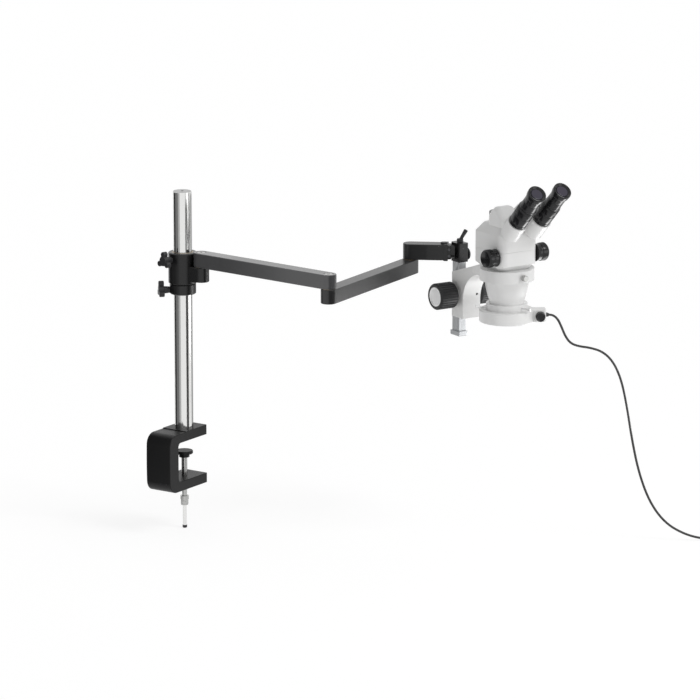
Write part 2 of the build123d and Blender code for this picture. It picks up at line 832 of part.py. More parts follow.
# Clamping lever on top of the bracket, its handle rising at a slant
with BuildPart() as tilt_lever:
    hub_bottom = bracket_top + face_gap
    rod(lever_hub_radius, hub_bottom, hub_bottom + lever_hub_height)
    fillet(tilt_lever.edges().group_by(Axis.Z)[-1], 1.5)
    rod(lever_stud_radius, rail_top + face_gap, hub_bottom)
    lever_way = direction(lever_turn) * cos(radians(lever_rise)) + Vector(0, 0, sin(radians(lever_rise)))
    lever_root = Plane(
        origin=(0, 0, hub_bottom + lever_hub_height / 2),
        x_dir=tuple(direction(lever_turn + 90)),
        z_dir=tuple(lever_way),
    )
    with BuildSketch(lever_root):
        Circle(lever_root_radius)
    with BuildSketch(lever_root.offset(lever_length)):
        Circle(lever_tip_radius)
    loft()
    tip_rim = tilt_lever.edges().filter_by(GeomType.CIRCLE).sort_by(Axis.Z)[-1]
    fillet(tip_rim, 1.4)
deliver(tilt_lever, "tilt_lever", rail_place * Location((0, lever_hub_y, 0)))

# Disc knob on the bracket's far side
with BuildPart() as bracket_knob:
    knob_face = bracket_half_x + face_gap
    rod(bracket_knob_neck_radius, knob_face, knob_face + bracket_knob_neck_length)
    rod(bracket_knob_radius, knob_face + bracket_knob_neck_length, knob_face + bracket_knob_neck_length + bracket_knob_rim)
    fillet(rims(bracket_knob, bracket_knob_radius), 1.0)
    rod(bracket_knob_stud_radius, rail_half_x + face_gap, knob_face)
deliver(
    bracket_knob,
    "bracket_knob",
    rail_place * Location(Plane(origin=(0, 0, bracket_knob_z), x_dir=(0, 1, 0), z_dir=(1, 0, 0))),
)

# Rail: a grooved column with rack teeth sunk in its front
tooth_pitch = pi * module
rack_root_y = rack_pitch_y + 1.25 * module
rack_tip_y = rack_pitch_y - module
pitch_half = tooth_pitch / 4 - tooth_play / 2
flank_slope = tan(radians(pressure_angle))
rack_middle = ring_top + pinion_axis_z
rack_length = rack_tooth_count * tooth_pitch
carriage_place = rail_place * Location((0, 0, ring_top))
with BuildPart() as focus_rail:
    with BuildSketch(Plane.XY.offset(rail_bottom)):
        Polygon(*rail_section, align=None)
    extrude(amount=rail_top - rail_bottom)
    with Locations((0, -rail_half_y, rack_middle - 3)):
        Box(2 * rack_slot_half, 2 * (rail_half_y + rack_root_y), rack_length, mode=Mode.SUBTRACT)
    with BuildSketch(Plane.YZ) as rack_teeth:
        for index in range(-(rack_tooth_count // 2) - 1, rack_tooth_count // 2 - 1):
            height = rack_middle + index * tooth_pitch
            tip_half = pitch_half - module * flank_slope
            root_half = pitch_half + 1.25 * module * flank_slope
            Polygon(
                (rack_tip_y, height - tip_half),
                (rack_tip_y, height + tip_half),
                (rack_root_y, height + root_half),
                (rack_root_y + 0.5, height + root_half),
                (rack_root_y + 0.5, height - root_half),
                (rack_root_y, height - root_half),
                align=None,
            )
    extrude(amount=rack_slot_half, both=True)
deliver(focus_rail, "focus_rail", rail_place)

# Foot plate that stops the carriage at the rail's lower end
with BuildPart() as rail_foot:
    with BuildSketch(Plane.XY.offset(rail_bottom - foot_height)):
        RectangleRounded(2 * foot_half_x, 2 * foot_half_y, 1.5)
    extrude(amount=foot_height)
    chamfer(rail_foot.faces().sort_by(Axis.Z)[0].edges(), edge_break)
deliver(rail_foot, "rail_foot", rail_place)

# Focusing arm: slide housing, arch and holding ring in one casting, whose top rises to the ring
housing_mid_y = (housing_back_y + housing_front_y) / 2
pinion_pitch_radius = module * pinion_teeth / 2
pinion_axis_y = rack_pitch_y - pinion_pitch_radius
pinion_tip_radius = pinion_pitch_radius + module
slide_gap = 1.6 * running_fit
neck_slope = (rail_half_x - rail_neck_half) / (rail_groove_root - rail_groove_front)
slot_mouth_y = housing_back_y + 1
slot_mouth_half = rail_neck_half + (rail_groove_root - slot_mouth_y) * neck_slope + slide_gap
slot_half_outline = [
    (slot_mouth_half, slot_mouth_y),
    (rail_half_x + slide_gap, rail_groove_front + running_fit),
    (rail_half_x + slide_gap, -rail_half_y - running_fit),
]
slot_outline = slot_half_outline + [(-x, y) for x, y in reversed(slot_half_outline)]
ring_bore_radius = head_spigot_radius + running_fit
ring_back_y = ring_outer_radius - optical_reach
housing_bottom = housing_top - housing_height
arch_rise = max(0.0, tension_screw_z + ring_height + arch_radius)
arch_surface_y = housing_front_y - arch_radius + sqrt(arch_radius**2 - arch_rise**2)
with BuildPart() as focus_arm:
    with BuildSketch(Plane.YZ) as arm_profile:
        with BuildLine():
            Polyline(
                (housing_front_y - arch_radius, -ring_height),
                (-optical_reach, -ring_height),
                (-optical_reach, 0),
                (housing_back_y, 0),
                (housing_back_y, housing_bottom),
                (housing_front_y, housing_bottom),
                (housing_front_y, -ring_height - arch_radius),
            )
            RadiusArc(
                (housing_front_y, -ring_height - arch_radius),
                (housing_front_y - arch_radius, -ring_height),
                -arch_radius,
            )
        make_face()
    extrude(amount=housing_half_x, both=True)
    with BuildSketch(Plane.XY.offset(-ring_height)):
        with BuildLine():
            Polyline(
                (-housing_half_x, housing_front_y - arch_radius * 0.5),
                (housing_half_x, housing_front_y - arch_radius * 0.5),
                (ring_web_half, -optical_reach + ring_outer_radius * 0.8),
                (-ring_web_half, -optical_reach + ring_outer_radius * 0.8),
                close=True,
            )
        make_face()
    extrude(amount=ring_height)
    with Locations((0, -optical_reach, -ring_height)):
        Cylinder(ring_outer_radius, ring_height, align=(Align.CENTER, Align.CENTER, Align.MIN))
    fillet(focus_arm.edges().filter_by(Axis.Z).group_by(Axis.Y)[-1], housing_corner)
    with BuildSketch(Plane.YZ):
        Polygon(
            (ring_back_y, 0),
            (housing_back_y + 1, housing_top),
            (housing_back_y + 1, 1),
            (ring_back_y, 1),
            align=None,
        )
    extrude(amount=ring_web_half + 1, both=True, mode=Mode.SUBTRACT)
    for side in (-1, 1):
        with Locations(Location((side * housing_half_x, pinion_axis_y, pinion_axis_z), (0, side * 90, 0))):
            Cylinder(knob_boss_radius, knob_boss_height, align=(Align.CENTER, Align.CENTER, Align.MIN))
    with Locations((0, -optical_reach, -ring_height)):
        Cylinder(
            ring_bore_radius,
            3 * ring_height,
            align=(Align.CENTER, Align.CENTER, Align.CENTER),
            mode=Mode.SUBTRACT,
        )
    with BuildSketch(Plane.XY.offset(housing_bottom - 1)):
        Polygon(*slot_outline, align=None)
    extrude(amount=1 - housing_bottom, mode=Mode.SUBTRACT)
    with Locations(Location((0, pinion_axis_y, pinion_axis_z), (0, 90, 0))):
        Cylinder(pinion_tip_radius + pinion_pocket_gap, pinion_width + 2 * pinion_pocket_gap, mode=Mode.SUBTRACT)
        Cylinder(pinion_shaft_radius + running_fit, 4 * housing_half_x, mode=Mode.SUBTRACT)
    with Locations(Location((0, -optical_reach, -ring_height / 2), (90, 0, 0))):
        Cylinder(
            holder_screw_radius + running_fit,
            2 * ring_outer_radius,
            align=(Align.CENTER, Align.CENTER, Align.MIN),
            mode=Mode.SUBTRACT,
        )
    with Locations(Location((tension_screw_x, arch_surface_y + tension_screw_sink, tension_screw_z), (90, 0, 0))):
        Cylinder(tension_screw_radius, 2 * (tension_screw_length + face_gap), mode=Mode.SUBTRACT)
deliver(focus_arm, "focus_arm", carriage_place)

# Set screw in the arch that adjusts the slide's drag
with BuildPart() as tension_screw:
    with Locations(Location((tension_screw_x, arch_surface_y + tension_screw_sink, tension_screw_z), (90, 0, 0))):
        Cylinder(tension_screw_radius, tension_screw_length, align=(Align.CENTER, Align.CENTER, Align.MAX))
    with BuildSketch(Plane(origin=(tension_screw_x, arch_surface_y + tension_screw_sink, tension_screw_z), z_dir=(0, -1, 0))):
        RegularPolygon(1.2, 6)
    extrude(amount=-2, mode=Mode.SUBTRACT)
deliver(tension_screw, "tension_screw", carriage_place)


def involute(angle):
    return tan(angle) - angle


def pinion_tooth(centre_angle):
    """Corner points of one tooth, its flanks following the involute of the base circle."""
    base_radius = pinion_pitch_radius * cos(radians(pressure_angle))
    root_radius = pinion_pitch_radius - 1.25 * module
    half_at_pitch = (pitch_half / pinion_pitch_radius) + involute(radians(pressure_angle))
    flank = [(root_radius - 0.4, half_at_pitch)]
    for step in range(5):
        radius = base_radius + (pinion_tip_radius - base_radius) * step / 4
        turn = sqrt((radius / base_radius) ** 2 - 1)
        flank.append((radius, half_at_pitch - (turn - atan2(turn, 1))))
    points = [(r, centre_angle + a) for r, a in flank] + [(r, centre_angle - a) for r, a in reversed(flank)]
    return [(r * cos(a), r * sin(a)) for r, a in points]


# Pinion with its shaft; a tooth space faces the rack at rest
shaft_half = housing_half_x + knob_boss_height + face_gap + focus_shaft_depth
pinion_plane = Plane(origin=(0, pinion_axis_y, pinion_axis_z), x_dir=(0, 1, 0), z_dir=(1, 0, 0))
with BuildPart() as focus_pinion:
    with BuildSketch(pinion_plane):
        Circle(pinion_pitch_radius - 1.25 * module)
        for index in range(pinion_teeth):
            Polygon(*pinion_tooth((index + 0.5) * 2 * pi / pinion_teeth), align=None)
    extrude(amount=pinion_width / 2, both=True)
    with BuildSketch(pinion_plane):
        Circle(pinion_shaft_radius)
    extrude(amount=shaft_half, both=True)
deliver(focus_pinion, "focus_pinion", carriage_place)

# Focus knobs: turned drums with a silver cap let into the outer face
knob_start = housing_half_x + knob_boss_height + face_gap
knob_end = knob_start + focus_knob_length
for name, side in (("left", -1), ("right", 1)):
    knob_plane = Plane(origin=(0, pinion_axis_y, pinion_axis_z), x_dir=(0, 1, 0), z_dir=(side, 0, 0))
    with BuildPart() as focus_knob:
        with BuildSketch(knob_plane.offset(knob_start)):
            Circle(focus_knob_radius)
        extrude(amount=focus_knob_length)
        chamfer(focus_knob.edges(), focus_knob_edge)
        with BuildSketch(knob_plane.offset(knob_end)):
            Circle(focus_cap_radius)
        extrude(amount=-focus_cap_height, mode=Mode.SUBTRACT)
        with BuildSketch(knob_plane.offset(knob_start)):
            Circle(pinion_shaft_radius)
        extrude(amount=focus_shaft_depth, mode=Mode.SUBTRACT)
    deliver(focus_knob, f"focus_knob_{name}", carriage_place)

with BuildPart() as focus_knob_caps:
    for side in (-1, 1):
        cap_plane = Plane(origin=(0, pinion_axis_y, pinion_axis_z), x_dir=(0, 1, 0), z_dir=(side, 0, 0))
        with BuildSketch(cap_plane.offset(knob_end - focus_cap_height)):
            Circle(focus_cap_radius)
        extrude(amount=focus_cap_height)
deliver(focus_knob_caps, "focus_knob_caps", carriage_place)

# Thumb screw in the ring that holds the head
with BuildPart() as holder_screw:
    screw_plane = Plane(origin=(0, 0, -ring_height / 2), x_dir=(1, 0, 0), z_dir=(0, -1, 0))
    with BuildSketch(screw_plane.offset(ring_bore_radius + face_gap)):
        Circle(holder_screw_radius)
    extrude(amount=ring_outer_radius - ring_bore_radius + holder_screw_neck)
    head_start = ring_outer_radius + face_gap + holder_screw_neck
    with BuildSketch(screw_plane.offset(head_start)):
        Circle(holder_screw_head_radius)
    extrude(amount=holder_screw_head_length)
    chamfer(rims(holder_screw, holder_screw_head_radius), 0.7)
deliver(holder_screw, "holder_screw", head_place)


def head_outline(height, inset_x=0.0, inset_back=0.0, inset_front=0.0, back_corner=head_back_corner):
    """The head's plan at a height: small corners behind, large ones in front."""
    back = head_back_y - inset_back
    front = head_front_y + inset_front
    with BuildSketch(Plane.XY.offset(height)) as outline:
        with Locations((0, (back + front) / 2)):
            Rectangle(2 * (head_half_x - inset_x), back - front)
        fillet(outline.vertices().group_by(Axis.Y)[-1], back_corner)
        fillet(outline.vertices().group_by(Axis.Y)[0], head_front_corner)
    return outline.sketch


# Lower body of the head: the spigot in the ring, a taper and the objective barrel
with BuildPart() as lower_body:
    with BuildSketch(Plane.XZ):
        with BuildLine():
            barrel_inner = objective_radius - body_wall
            swell = ((head_spigot_radius - 1 + objective_radius) / 2 + lower_body_swell)
            Polyline(
                (light_path_radius, main_body_bottom),
                (head_spigot_radius, main_body_bottom),
                (head_spigot_radius, -ring_height),
                (lower_body_radius, -ring_height),
                (lower_body_radius, lower_body_taper_top),
            )
            ThreePointArc(
                (lower_body_radius, lower_body_taper_top),
                (swell, (lower_body_taper_top + lower_body_taper_end) / 2),
                (objective_radius, lower_body_taper_end),
            )
            Polyline(
                (objective_radius, lower_body_taper_end),
                (objective_radius, objective_bottom),
                (objective_lip_radius, objective_bottom),
                (objective_lip_radius, objective_bottom + objective_lip_height),
                (barrel_inner, objective_bottom + objective_lip_height),
                (barrel_inner, lower_body_taper_end),
                (lower_body_radius - body_wall, lower_body_taper_top),
                (lower_body_radius - body_wall, main_body_bottom - 2 * body_wall),
                (light_path_radius, main_body_bottom - 2 * body_wall),
                (light_path_radius, main_body_bottom),
            )
        make_face()
    revolve(axis=Axis.Z)
deliver(lower_body, "lower_body", head_place)

with BuildPart() as objective_lens:
    lens_bottom = objective_bottom + objective_lip_height
    rod(barrel_inner, lens_bottom, lens_bottom + objective_lens_height)
    fillet(objective_lens.edges().group_by(Axis.Z)[-1], objective_lens_height * 0.6)
deliver(objective_lens, "objective_lens", head_place)

# Main body: a shell with sloping lower edges, open towards its cover
with BuildPart() as main_body:
    slope_top = main_body_bottom + bottom_chamfer
    foot_outline = head_outline(main_body_bottom, bottom_chamfer, bottom_chamfer, bottom_chamfer)
    loft([foot_outline, head_outline(slope_top)])
    extrude(head_outline(slope_top), amount=seam_z - slope_top)
    offset(amount=-body_wall, openings=main_body.faces().sort_by(Axis.Z)[-1])
    rod(light_path_radius, main_body_bottom - 1, seam_z, Mode.SUBTRACT)
    with Locations(Location((0, zoom_axis_y, zoom_axis_z), (0, 90, 0))):
        Cylinder(zoom_shaft_radius + running_fit, 3 * head_half_x, mode=Mode.SUBTRACT)
deliver(main_body, "main_body", head_place)

# Top cover: rises straight, then slopes in on all sides, with a shadow groove at the seam
with BuildPart() as top_cover:
    extrude(head_outline(seam_z), amount=cover_shoulder - seam_z)
    crown = head_outline(cover_top, cover_inset_x, cover_inset_back, cover_inset_front, cover_corner)
    loft([head_outline(cover_shoulder), crown])
    offset(amount=-body_wall, openings=top_cover.faces().sort_by(Axis.Z)[0])
    with BuildSketch(Plane.XY.offset(seam_z)):
        add(head_outline(0))
        offset(amount=-1, mode=Mode.SUBTRACT)
    extrude(amount=seam_gap, mode=Mode.SUBTRACT)
    for side in (-1, 1):
        with Locations((side * eye_half_spacing, eye_pivot_y, cover_top)):
            Cylinder(eye_pivot_radius + running_fit, 4 * body_wall, mode=Mode.SUBTRACT)
    with Locations((0, photo_tube_y, 0)):
        Cylinder(
            photo_tube_radius,
            2 * cover_top,
            align=(Align.CENTER, Align.CENTER, Align.MIN),
            mode=Mode.SUBTRACT,
        )
deliver(top_cover, "top_cover", head_place)

with BuildPart() as photo_tube:
    rod(photo_tube_radius, photo_tube_bottom, photo_tube_top)
    chamfer(photo_tube.edges().group_by(Axis.Z)[-1], edge_break)
    rod(photo_tube_radius - photo_tube_wall, photo_tube_bottom, photo_tube_top - photo_tube_wall, Mode.SUBTRACT)
deliver(photo_tube, "photo_tube", head_place * Location((0, photo_tube_y, 0)))

# Zoom shaft with a knob at each end
zoom_plane = Plane(origin=(0, zoom_axis_y, zoom_axis_z), x_dir=(0, 1, 0), z_dir=(1, 0, 0))
with BuildPart() as zoom_knobs:
    with BuildSketch(zoom_plane):
        Circle(zoom_shaft_radius)
    extrude(amount=head_half_x + 2 * face_gap, both=True)
    for side in (-1, 1):
        knob_plane = Plane(origin=zoom_plane.origin, x_dir=(0, 1, 0), z_dir=(side, 0, 0))
        with BuildSketch(knob_plane.offset(head_half_x + face_gap)):
            Circle(zoom_knob_radius)
        extrude(amount=zoom_knob_length)
    chamfer(rims(zoom_knobs, zoom_knob_radius), zoom_knob_edge)
deliver(zoom_knobs, "zoom_knobs", head_place)

# Prism housings: a round tower over the pivot, running into a nose that leans to the eyes
prism_bottom = cover_top + face_gap
nose_axis = Vector(0, -cos(radians(tube_angle)), sin(radians(tube_angle)))
nose_plane = Plane(origin=(0, -nose_reach, nose_z), x_dir=(1, 0, 0), z_dir=tuple(nose_axis))
cover_front_y = head_front_y - prism_front_gap - eye_pivot_y
slope_run = prism_top - prism_bottom
for name, side in (("left", -1), ("right", 1)):
    eye_place = head_place * Location((side * eye_half_spacing, eye_pivot_y, 0), (0, 0, side * tube_spread))
    with BuildPart() as prism_housing:
        with BuildSketch(Plane.XY.offset(prism_bottom)):
            Circle(prism_half_width)
            with Locations((0, prism_crown_front)):
                Rectangle(2 * prism_half_width, -2 * prism_crown_front)
        extrude(amount=prism_top - prism_bottom)
        with BuildSketch(Plane.YZ):
            with BuildLine():
                Polyline(
                    (prism_half_width + 1, prism_bottom - 1),
                    (prism_half_width + 1, prism_shoulder),
                    (prism_crown_back, prism_top),
                    (prism_crown_front, prism_top),
                    (prism_crown_front - slope_run, prism_bottom),
                    (prism_crown_front - slope_run, prism_bottom - 1),
                    close=True,
                )
            make_face()
        extrude(amount=2 * prism_half_width, both=True, mode=Mode.INTERSECT)
        fillet(prism_housing.edges().filter_by(lambda edge: edge.center().Z > prism_bottom + 3), prism_round)
        with BuildSketch(nose_plane):
            Circle(nose_half)
        extrude(amount=-1.4 * nose_length)
        with Locations((0, cover_front_y, prism_bottom)):
            Box(
                4 * prism_half_width,
                2 * nose_reach,
                2 * nose_half,
                align=(Align.CENTER, Align.MIN, Align.MAX),
                mode=Mode.SUBTRACT,
            )
        fillet(rims(prism_housing, nose_half).sort_by(Axis.Z)[-1], 1.2)
        rod(eye_pivot_radius, prism_bottom - eye_pivot_length, prism_bottom + 1)
        rod(eye_path_radius, prism_bottom - eye_pivot_length - 1, prism_bottom + 4, Mode.SUBTRACT)
        with BuildSketch(nose_plane):
            Circle(diopter_spigot_radius + running_fit)
        extrude(amount=-diopter_spigot_length - 2, mode=Mode.SUBTRACT)
    deliver(prism_housing, f"prism_housing_{name}", eye_place)

    with BuildPart() as diopter_ring:
        with BuildSketch(nose_plane.offset(face_gap)):
            Circle(diopter_radius)
        extrude(amount=diopter_length - face_gap)
        chamfer(diopter_ring.edges(), diopter_edge)
        with BuildSketch(nose_plane.offset(-diopter_spigot_length)):
            Circle(diopter_spigot_radius)
        extrude(amount=diopter_spigot_length + 1)
        with BuildSketch(nose_plane.offset(-diopter_spigot_length)):
            Circle(eyepiece_path_radius)
        extrude(amount=diopter_spigot_length + diopter_length, mode=Mode.SUBTRACT)
        with BuildSketch(nose_plane.offset(diopter_length)):
            Circle(eyepiece_inner_radius)
        extrude(amount=-eyepiece_sunk, mode=Mode.SUBTRACT)
    deliver(diopter_ring, f"diopter_ring_{name}", eye_place)

    lens_seat = diopter_length + eyepiece_length - eye_lens_sunk - eye_lens_height
    with BuildPart() as eyepiece:
        with BuildSketch(nose_plane.offset(diopter_length)):
            Circle(eyepiece_radius)
        extrude(amount=eyepiece_length - eyecup_height)
        with BuildSketch(nose_plane.offset(diopter_length + eyepiece_length - eyecup_height)):
            Circle(eyecup_radius)
        extrude(amount=eyecup_height)
        fillet(rims(eyepiece, eyecup_radius), 1.2)
        with BuildSketch(nose_plane.offset(diopter_length - eyepiece_sunk)):
            Circle(eyepiece_inner_radius)
        extrude(amount=eyepiece_sunk)
        with BuildSketch(nose_plane.offset(diopter_length - eyepiece_sunk)):
            Circle(eyepiece_path_radius)
        extrude(amount=lens_seat - diopter_length + eyepiece_sunk, mode=Mode.SUBTRACT)
        with BuildSketch(nose_plane.offset(lens_seat)):
            Circle(eye_lens_radius)
        extrude(amount=eye_lens_height + eye_lens_sunk, mode=Mode.SUBTRACT)
        chamfer(rims(eyepiece, eye_lens_radius).sort_by(Axis.Z)[-1], 0.8)
    deliver(eyepiece, f"eyepiece_{name}", eye_place)

    with BuildPart() as eye_lens:
        with BuildSketch(nose_plane.offset(lens_seat)):
            Circle(eye_lens_radius)
        extrude(amount=eye_lens_height)
        fillet(rims(eye_lens, eye_lens_radius).sort_by(Axis.Z)[-1], eye_lens_crown)
    deliver(eye_lens, f"eye_lens_{name}", eye_place)

# Ring light: a channel round the barrel, with its switch box towards the lead
light_middle = (light_top + light_bottom) / 2
box_place = head_place * Location((0, 0, 0), (0, 0, box_angle))
light_bore_radius = objective_radius + running_fit
with BuildPart() as ring_light:
    with BuildSketch(Plane.XY.offset(light_bottom)) as light_plan:
        Circle(light_radius)
        with Locations((box_reach / 2, 0)):
            Rectangle(box_reach, box_width)
        fillet(light_plan.vertices().group_by(Axis.X)[-1], box_corner)
    extrude(amount=light_top - light_bottom)
    fillet(ring_light.edges().group_by(Axis.Z)[-1], light_corner)
    fillet(ring_light.edges().group_by(Axis.Z)[0], light_corner)
    rod(light_collar_radius, light_top, light_collar_top)
    rod(light_bore_radius, light_bottom - 1, light_collar_top + 1, Mode.SUBTRACT)
    with BuildSketch(Plane.XY.offset(light_bottom)):
        Circle(light_channel_outer)
        Circle(light_channel_inner, mode=Mode.SUBTRACT)
    extrude(amount=diffuser_height, mode=Mode.SUBTRACT)
    with BuildSketch(Plane.XY.offset(light_bottom)):
        Circle(light_channel_outer - light_ledge)
        Circle(light_channel_inner + light_ledge, mode=Mode.SUBTRACT)
    extrude(amount=light_channel_depth, mode=Mode.SUBTRACT)
    for angle in light_screw_angles:
        with Locations(Location(Plane(origin=(0, 0, light_screw_z), z_dir=direction(angle - box_angle)))):
            Cylinder(
                light_screw_radius,
                light_radius,
                align=(Align.CENTER, Align.CENTER, Align.MIN),
                mode=Mode.SUBTRACT,
            )
    with Locations(Location((dimmer_reach, -box_width / 2, light_middle), (90, 0, 0))):
        Cylinder(dimmer_stem_radius + running_fit, 2 * dimmer_stem_depth + 1, mode=Mode.SUBTRACT)
    with Locations(Location((box_reach, 0, light_middle), (0, 90, 0))):
        Cylinder(gland_spigot_radius, 2 * gland_spigot_length, mode=Mode.SUBTRACT)
deliver(ring_light, "ring_light", box_place)

with BuildPart() as ring_light_diffuser:
    with BuildSketch(Plane.XY.offset(light_bottom)):
        Circle(light_channel_outer)
        Circle(light_channel_inner, mode=Mode.SUBTRACT)
    extrude(amount=diffuser_height)
deliver(ring_light_diffuser, "ring_light_diffuser", head_place)

# Three thumb screws that grip the barrel through the collar
with BuildPart() as ring_light_screws:
    for angle in light_screw_angles:
        screw_plane = Plane(origin=(0, 0, light_screw_z), z_dir=direction(angle))
        with BuildSketch(screw_plane.offset(light_bore_radius)):
            Circle(light_screw_radius)
        extrude(amount=light_screw_length - 1)
        with BuildSketch(screw_plane.offset(light_bore_radius + light_screw_length - light_screw_head_length)):
            Circle(light_screw_head_radius)
        extrude(amount=light_screw_head_length)
    chamfer(rims(ring_light_screws, light_screw_head_radius), 0.4)
deliver(ring_light_screws, "ring_light_screws", head_place)

with BuildPart() as dimmer_knob:
    dimmer_plane = Plane(origin=(dimmer_reach, -box_width / 2, light_middle), x_dir=(1, 0, 0), z_dir=(0, -1, 0))
    with BuildSketch(dimmer_plane.offset(-dimmer_stem_depth)):
        Circle(dimmer_stem_radius)
    extrude(amount=dimmer_stem_depth + 1)
    with BuildSketch(dimmer_plane.offset(face_gap)):
        Circle(dimmer_radius)
    extrude(amount=dimmer_height)
    fillet(rims(dimmer_knob, dimmer_radius).sort_by(Axis.Y)[0], 1.5)
deliver(dimmer_knob, "dimmer_knob", box_place)

# Strain relief of the lead
gland_mouth = box_reach + gland_length
with BuildPart() as cord_gland:
    gland_plane = Plane(origin=(box_reach, 0, light_middle), x_dir=(0, 1, 0), z_dir=(1, 0, 0))
    with BuildSketch(gland_plane):
        Circle(gland_root_radius)
    with BuildSketch(gland_plane.offset(gland_length)):
        Circle(gland_tip_radius)
    loft()
    with BuildSketch(gland_plane.offset(-gland_spigot_length)):
        Circle(gland_spigot_radius)
    extrude(amount=gland_spigot_length)
deliver(cord_gland, "cord_gland", box_place)

# Lead: straight runs joined by tangent arcs, each as large as its runs allow
route = [Vector(gland_mouth + along, 0, light_middle + drop) for along, drop in lead_route]
radii = []
for before, corner, after in zip(route, route[1:], route[2:]):
    turn = radians((corner - before).get_angle(after - corner))
    shorter = min((corner - before).length, (after - corner).length)
    radii.append(0.45 * shorter / tan(turn / 2))
with BuildPart() as lead:
    with BuildLine() as lead_path:
        FilletPolyline(*route, radius=radii)
    with BuildSketch(Plane(origin=route[0], z_dir=route[1] - route[0])):
        Circle(lead_radius)
    sweep()
deliver(lead, "lead", box_place)
path_length = lead_path.wires()[0].length
print("lead radii", [round(radius, 1) for radius in radii])
print("lead length", round(path_length, 1))
print("lead volume", round(lead.part.volume, 1), "of", round(pi * lead_radius**2 * path_length, 1))

# Coil of the length put away, with the plug lying on it
floor_in_head = handle_bottom - ring_top
coil_spot = Location((gland_mouth + coil_reach, coil_radius + lead_radius, 0))
coil_height = 2 * lead_radius * coil_layers
coil_half_width = lead_radius * coil_columns
with BuildPart() as lead_coil:
    rod(coil_radius + coil_half_width, floor_in_head, floor_in_head + coil_height)
    rod(coil_radius - coil_half_width, floor_in_head - 1, floor_in_head + coil_height + 1, Mode.SUBTRACT)
deliver(lead_coil, "lead_coil", box_place * coil_spot)

with BuildPart() as dc_plug:
    plug_plane = Plane(
        origin=(coil_half_width / 2, -plug_offset, floor_in_head + coil_height + plug_radius),
        x_dir=(0, 1, 0),
        z_dir=(1, 0, 0),
    )
    with BuildSketch(plug_plane):
        Circle(plug_radius)
    extrude(amount=plug_length)
    fillet(rims(dc_plug, plug_radius), 0.8)
    with BuildSketch(plug_plane.offset(plug_length)):
        Circle(plug_barrel_radius)
        Circle(plug_bore_radius, mode=Mode.SUBTRACT)
    extrude(amount=plug_barrel_length)
deliver(dc_plug, "dc_plug", box_place * coil_spot)
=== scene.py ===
# %% [markdown]
# A stereo microscope hangs from a jointed arm on a chrome column, and a clamp holds the column to a
# table. The rigid model with its joints comes ready made, in metres, as a fixed frame. This lesson
# dresses it: paint, chrome, rubber and glass on the pieces that stay, and finer pieces where a turned
# or moulded part needs more than its plain solid shows.

# %% Load the frame
from math import atan2, cos, sin, tan, pi, radians

import bmesh
import bpy
from mathutils import Matrix, Vector


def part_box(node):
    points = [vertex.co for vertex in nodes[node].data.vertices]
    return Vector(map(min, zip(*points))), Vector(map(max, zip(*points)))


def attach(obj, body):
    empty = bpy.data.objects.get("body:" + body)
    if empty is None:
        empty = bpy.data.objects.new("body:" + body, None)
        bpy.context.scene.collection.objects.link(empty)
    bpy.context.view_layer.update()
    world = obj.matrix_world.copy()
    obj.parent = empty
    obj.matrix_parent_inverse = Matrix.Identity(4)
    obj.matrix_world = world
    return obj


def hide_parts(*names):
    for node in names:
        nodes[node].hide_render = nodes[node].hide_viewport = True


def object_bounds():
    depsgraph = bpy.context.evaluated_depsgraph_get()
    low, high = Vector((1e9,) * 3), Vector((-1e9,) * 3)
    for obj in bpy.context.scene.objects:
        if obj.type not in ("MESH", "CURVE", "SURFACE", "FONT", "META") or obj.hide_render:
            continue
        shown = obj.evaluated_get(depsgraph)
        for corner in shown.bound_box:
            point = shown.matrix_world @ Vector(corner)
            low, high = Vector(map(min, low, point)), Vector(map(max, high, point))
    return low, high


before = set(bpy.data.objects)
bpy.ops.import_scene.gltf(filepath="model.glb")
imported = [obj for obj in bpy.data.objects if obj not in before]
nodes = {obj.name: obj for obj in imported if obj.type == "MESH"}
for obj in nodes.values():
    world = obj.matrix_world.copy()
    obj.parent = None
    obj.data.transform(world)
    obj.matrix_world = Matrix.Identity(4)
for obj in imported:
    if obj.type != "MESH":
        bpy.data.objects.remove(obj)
solid_low, solid_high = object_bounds()
print("CAD box", [round(v, 4) for v in solid_low], [round(v, 4) for v in solid_high])

# %% [markdown]
# The stand is drawn with a few directions that are used again and again. The lead leaves the lamp
# towards the right of the picture, and the head looks towards its eyepieces. Each direction is a unit
# vector, so a place is a start plus a distance along it. The head's own frame is a matrix, which turns
# plain local places into places in the room.

# %% Directions and places of the stand


def heading(degrees):
    return Vector((cos(radians(degrees)), sin(radians(degrees)), 0.0))


up = Vector((0, 0, 1))
picture_right = heading(34)
picture_back = heading(124)
head_front = heading(-23)
head_right = heading(67)
shoulder = Vector((0.039, 0, 0))
elbow = shoulder + heading(-5) * 0.278
wrist = elbow + heading(94) * 0.278
rail = wrist + heading(28.5) * 0.083
ring_top = 0.3125
head = rail + head_front * 0.142 + up * ring_top


def frame_at(origin, along, side):
    """Matrix whose Z runs along a direction and whose X is the part of side at right angles to it."""
    along = along.normalized()
    side = (side - along * side.dot(along)).normalized()
    turn = Matrix((side, along.cross(side), along)).transposed().to_4x4()
    return Matrix.Translation(origin) @ turn


head_frame = Matrix.Translation(head) @ Matrix.Rotation(radians(67), 4, "Z")
print("head axis", [round(v, 4) for v in head])

# %% [markdown]
# The photograph looks at the stand from 34 degrees round and 13 degrees up, with a long lens from far
# away, so the column stays straight. A camera can be aimed by hand, but here its place is worked out from
# those two angles and a target in the middle of the picture. A quaternion that turns the lens's axis
# towards the target then points it.

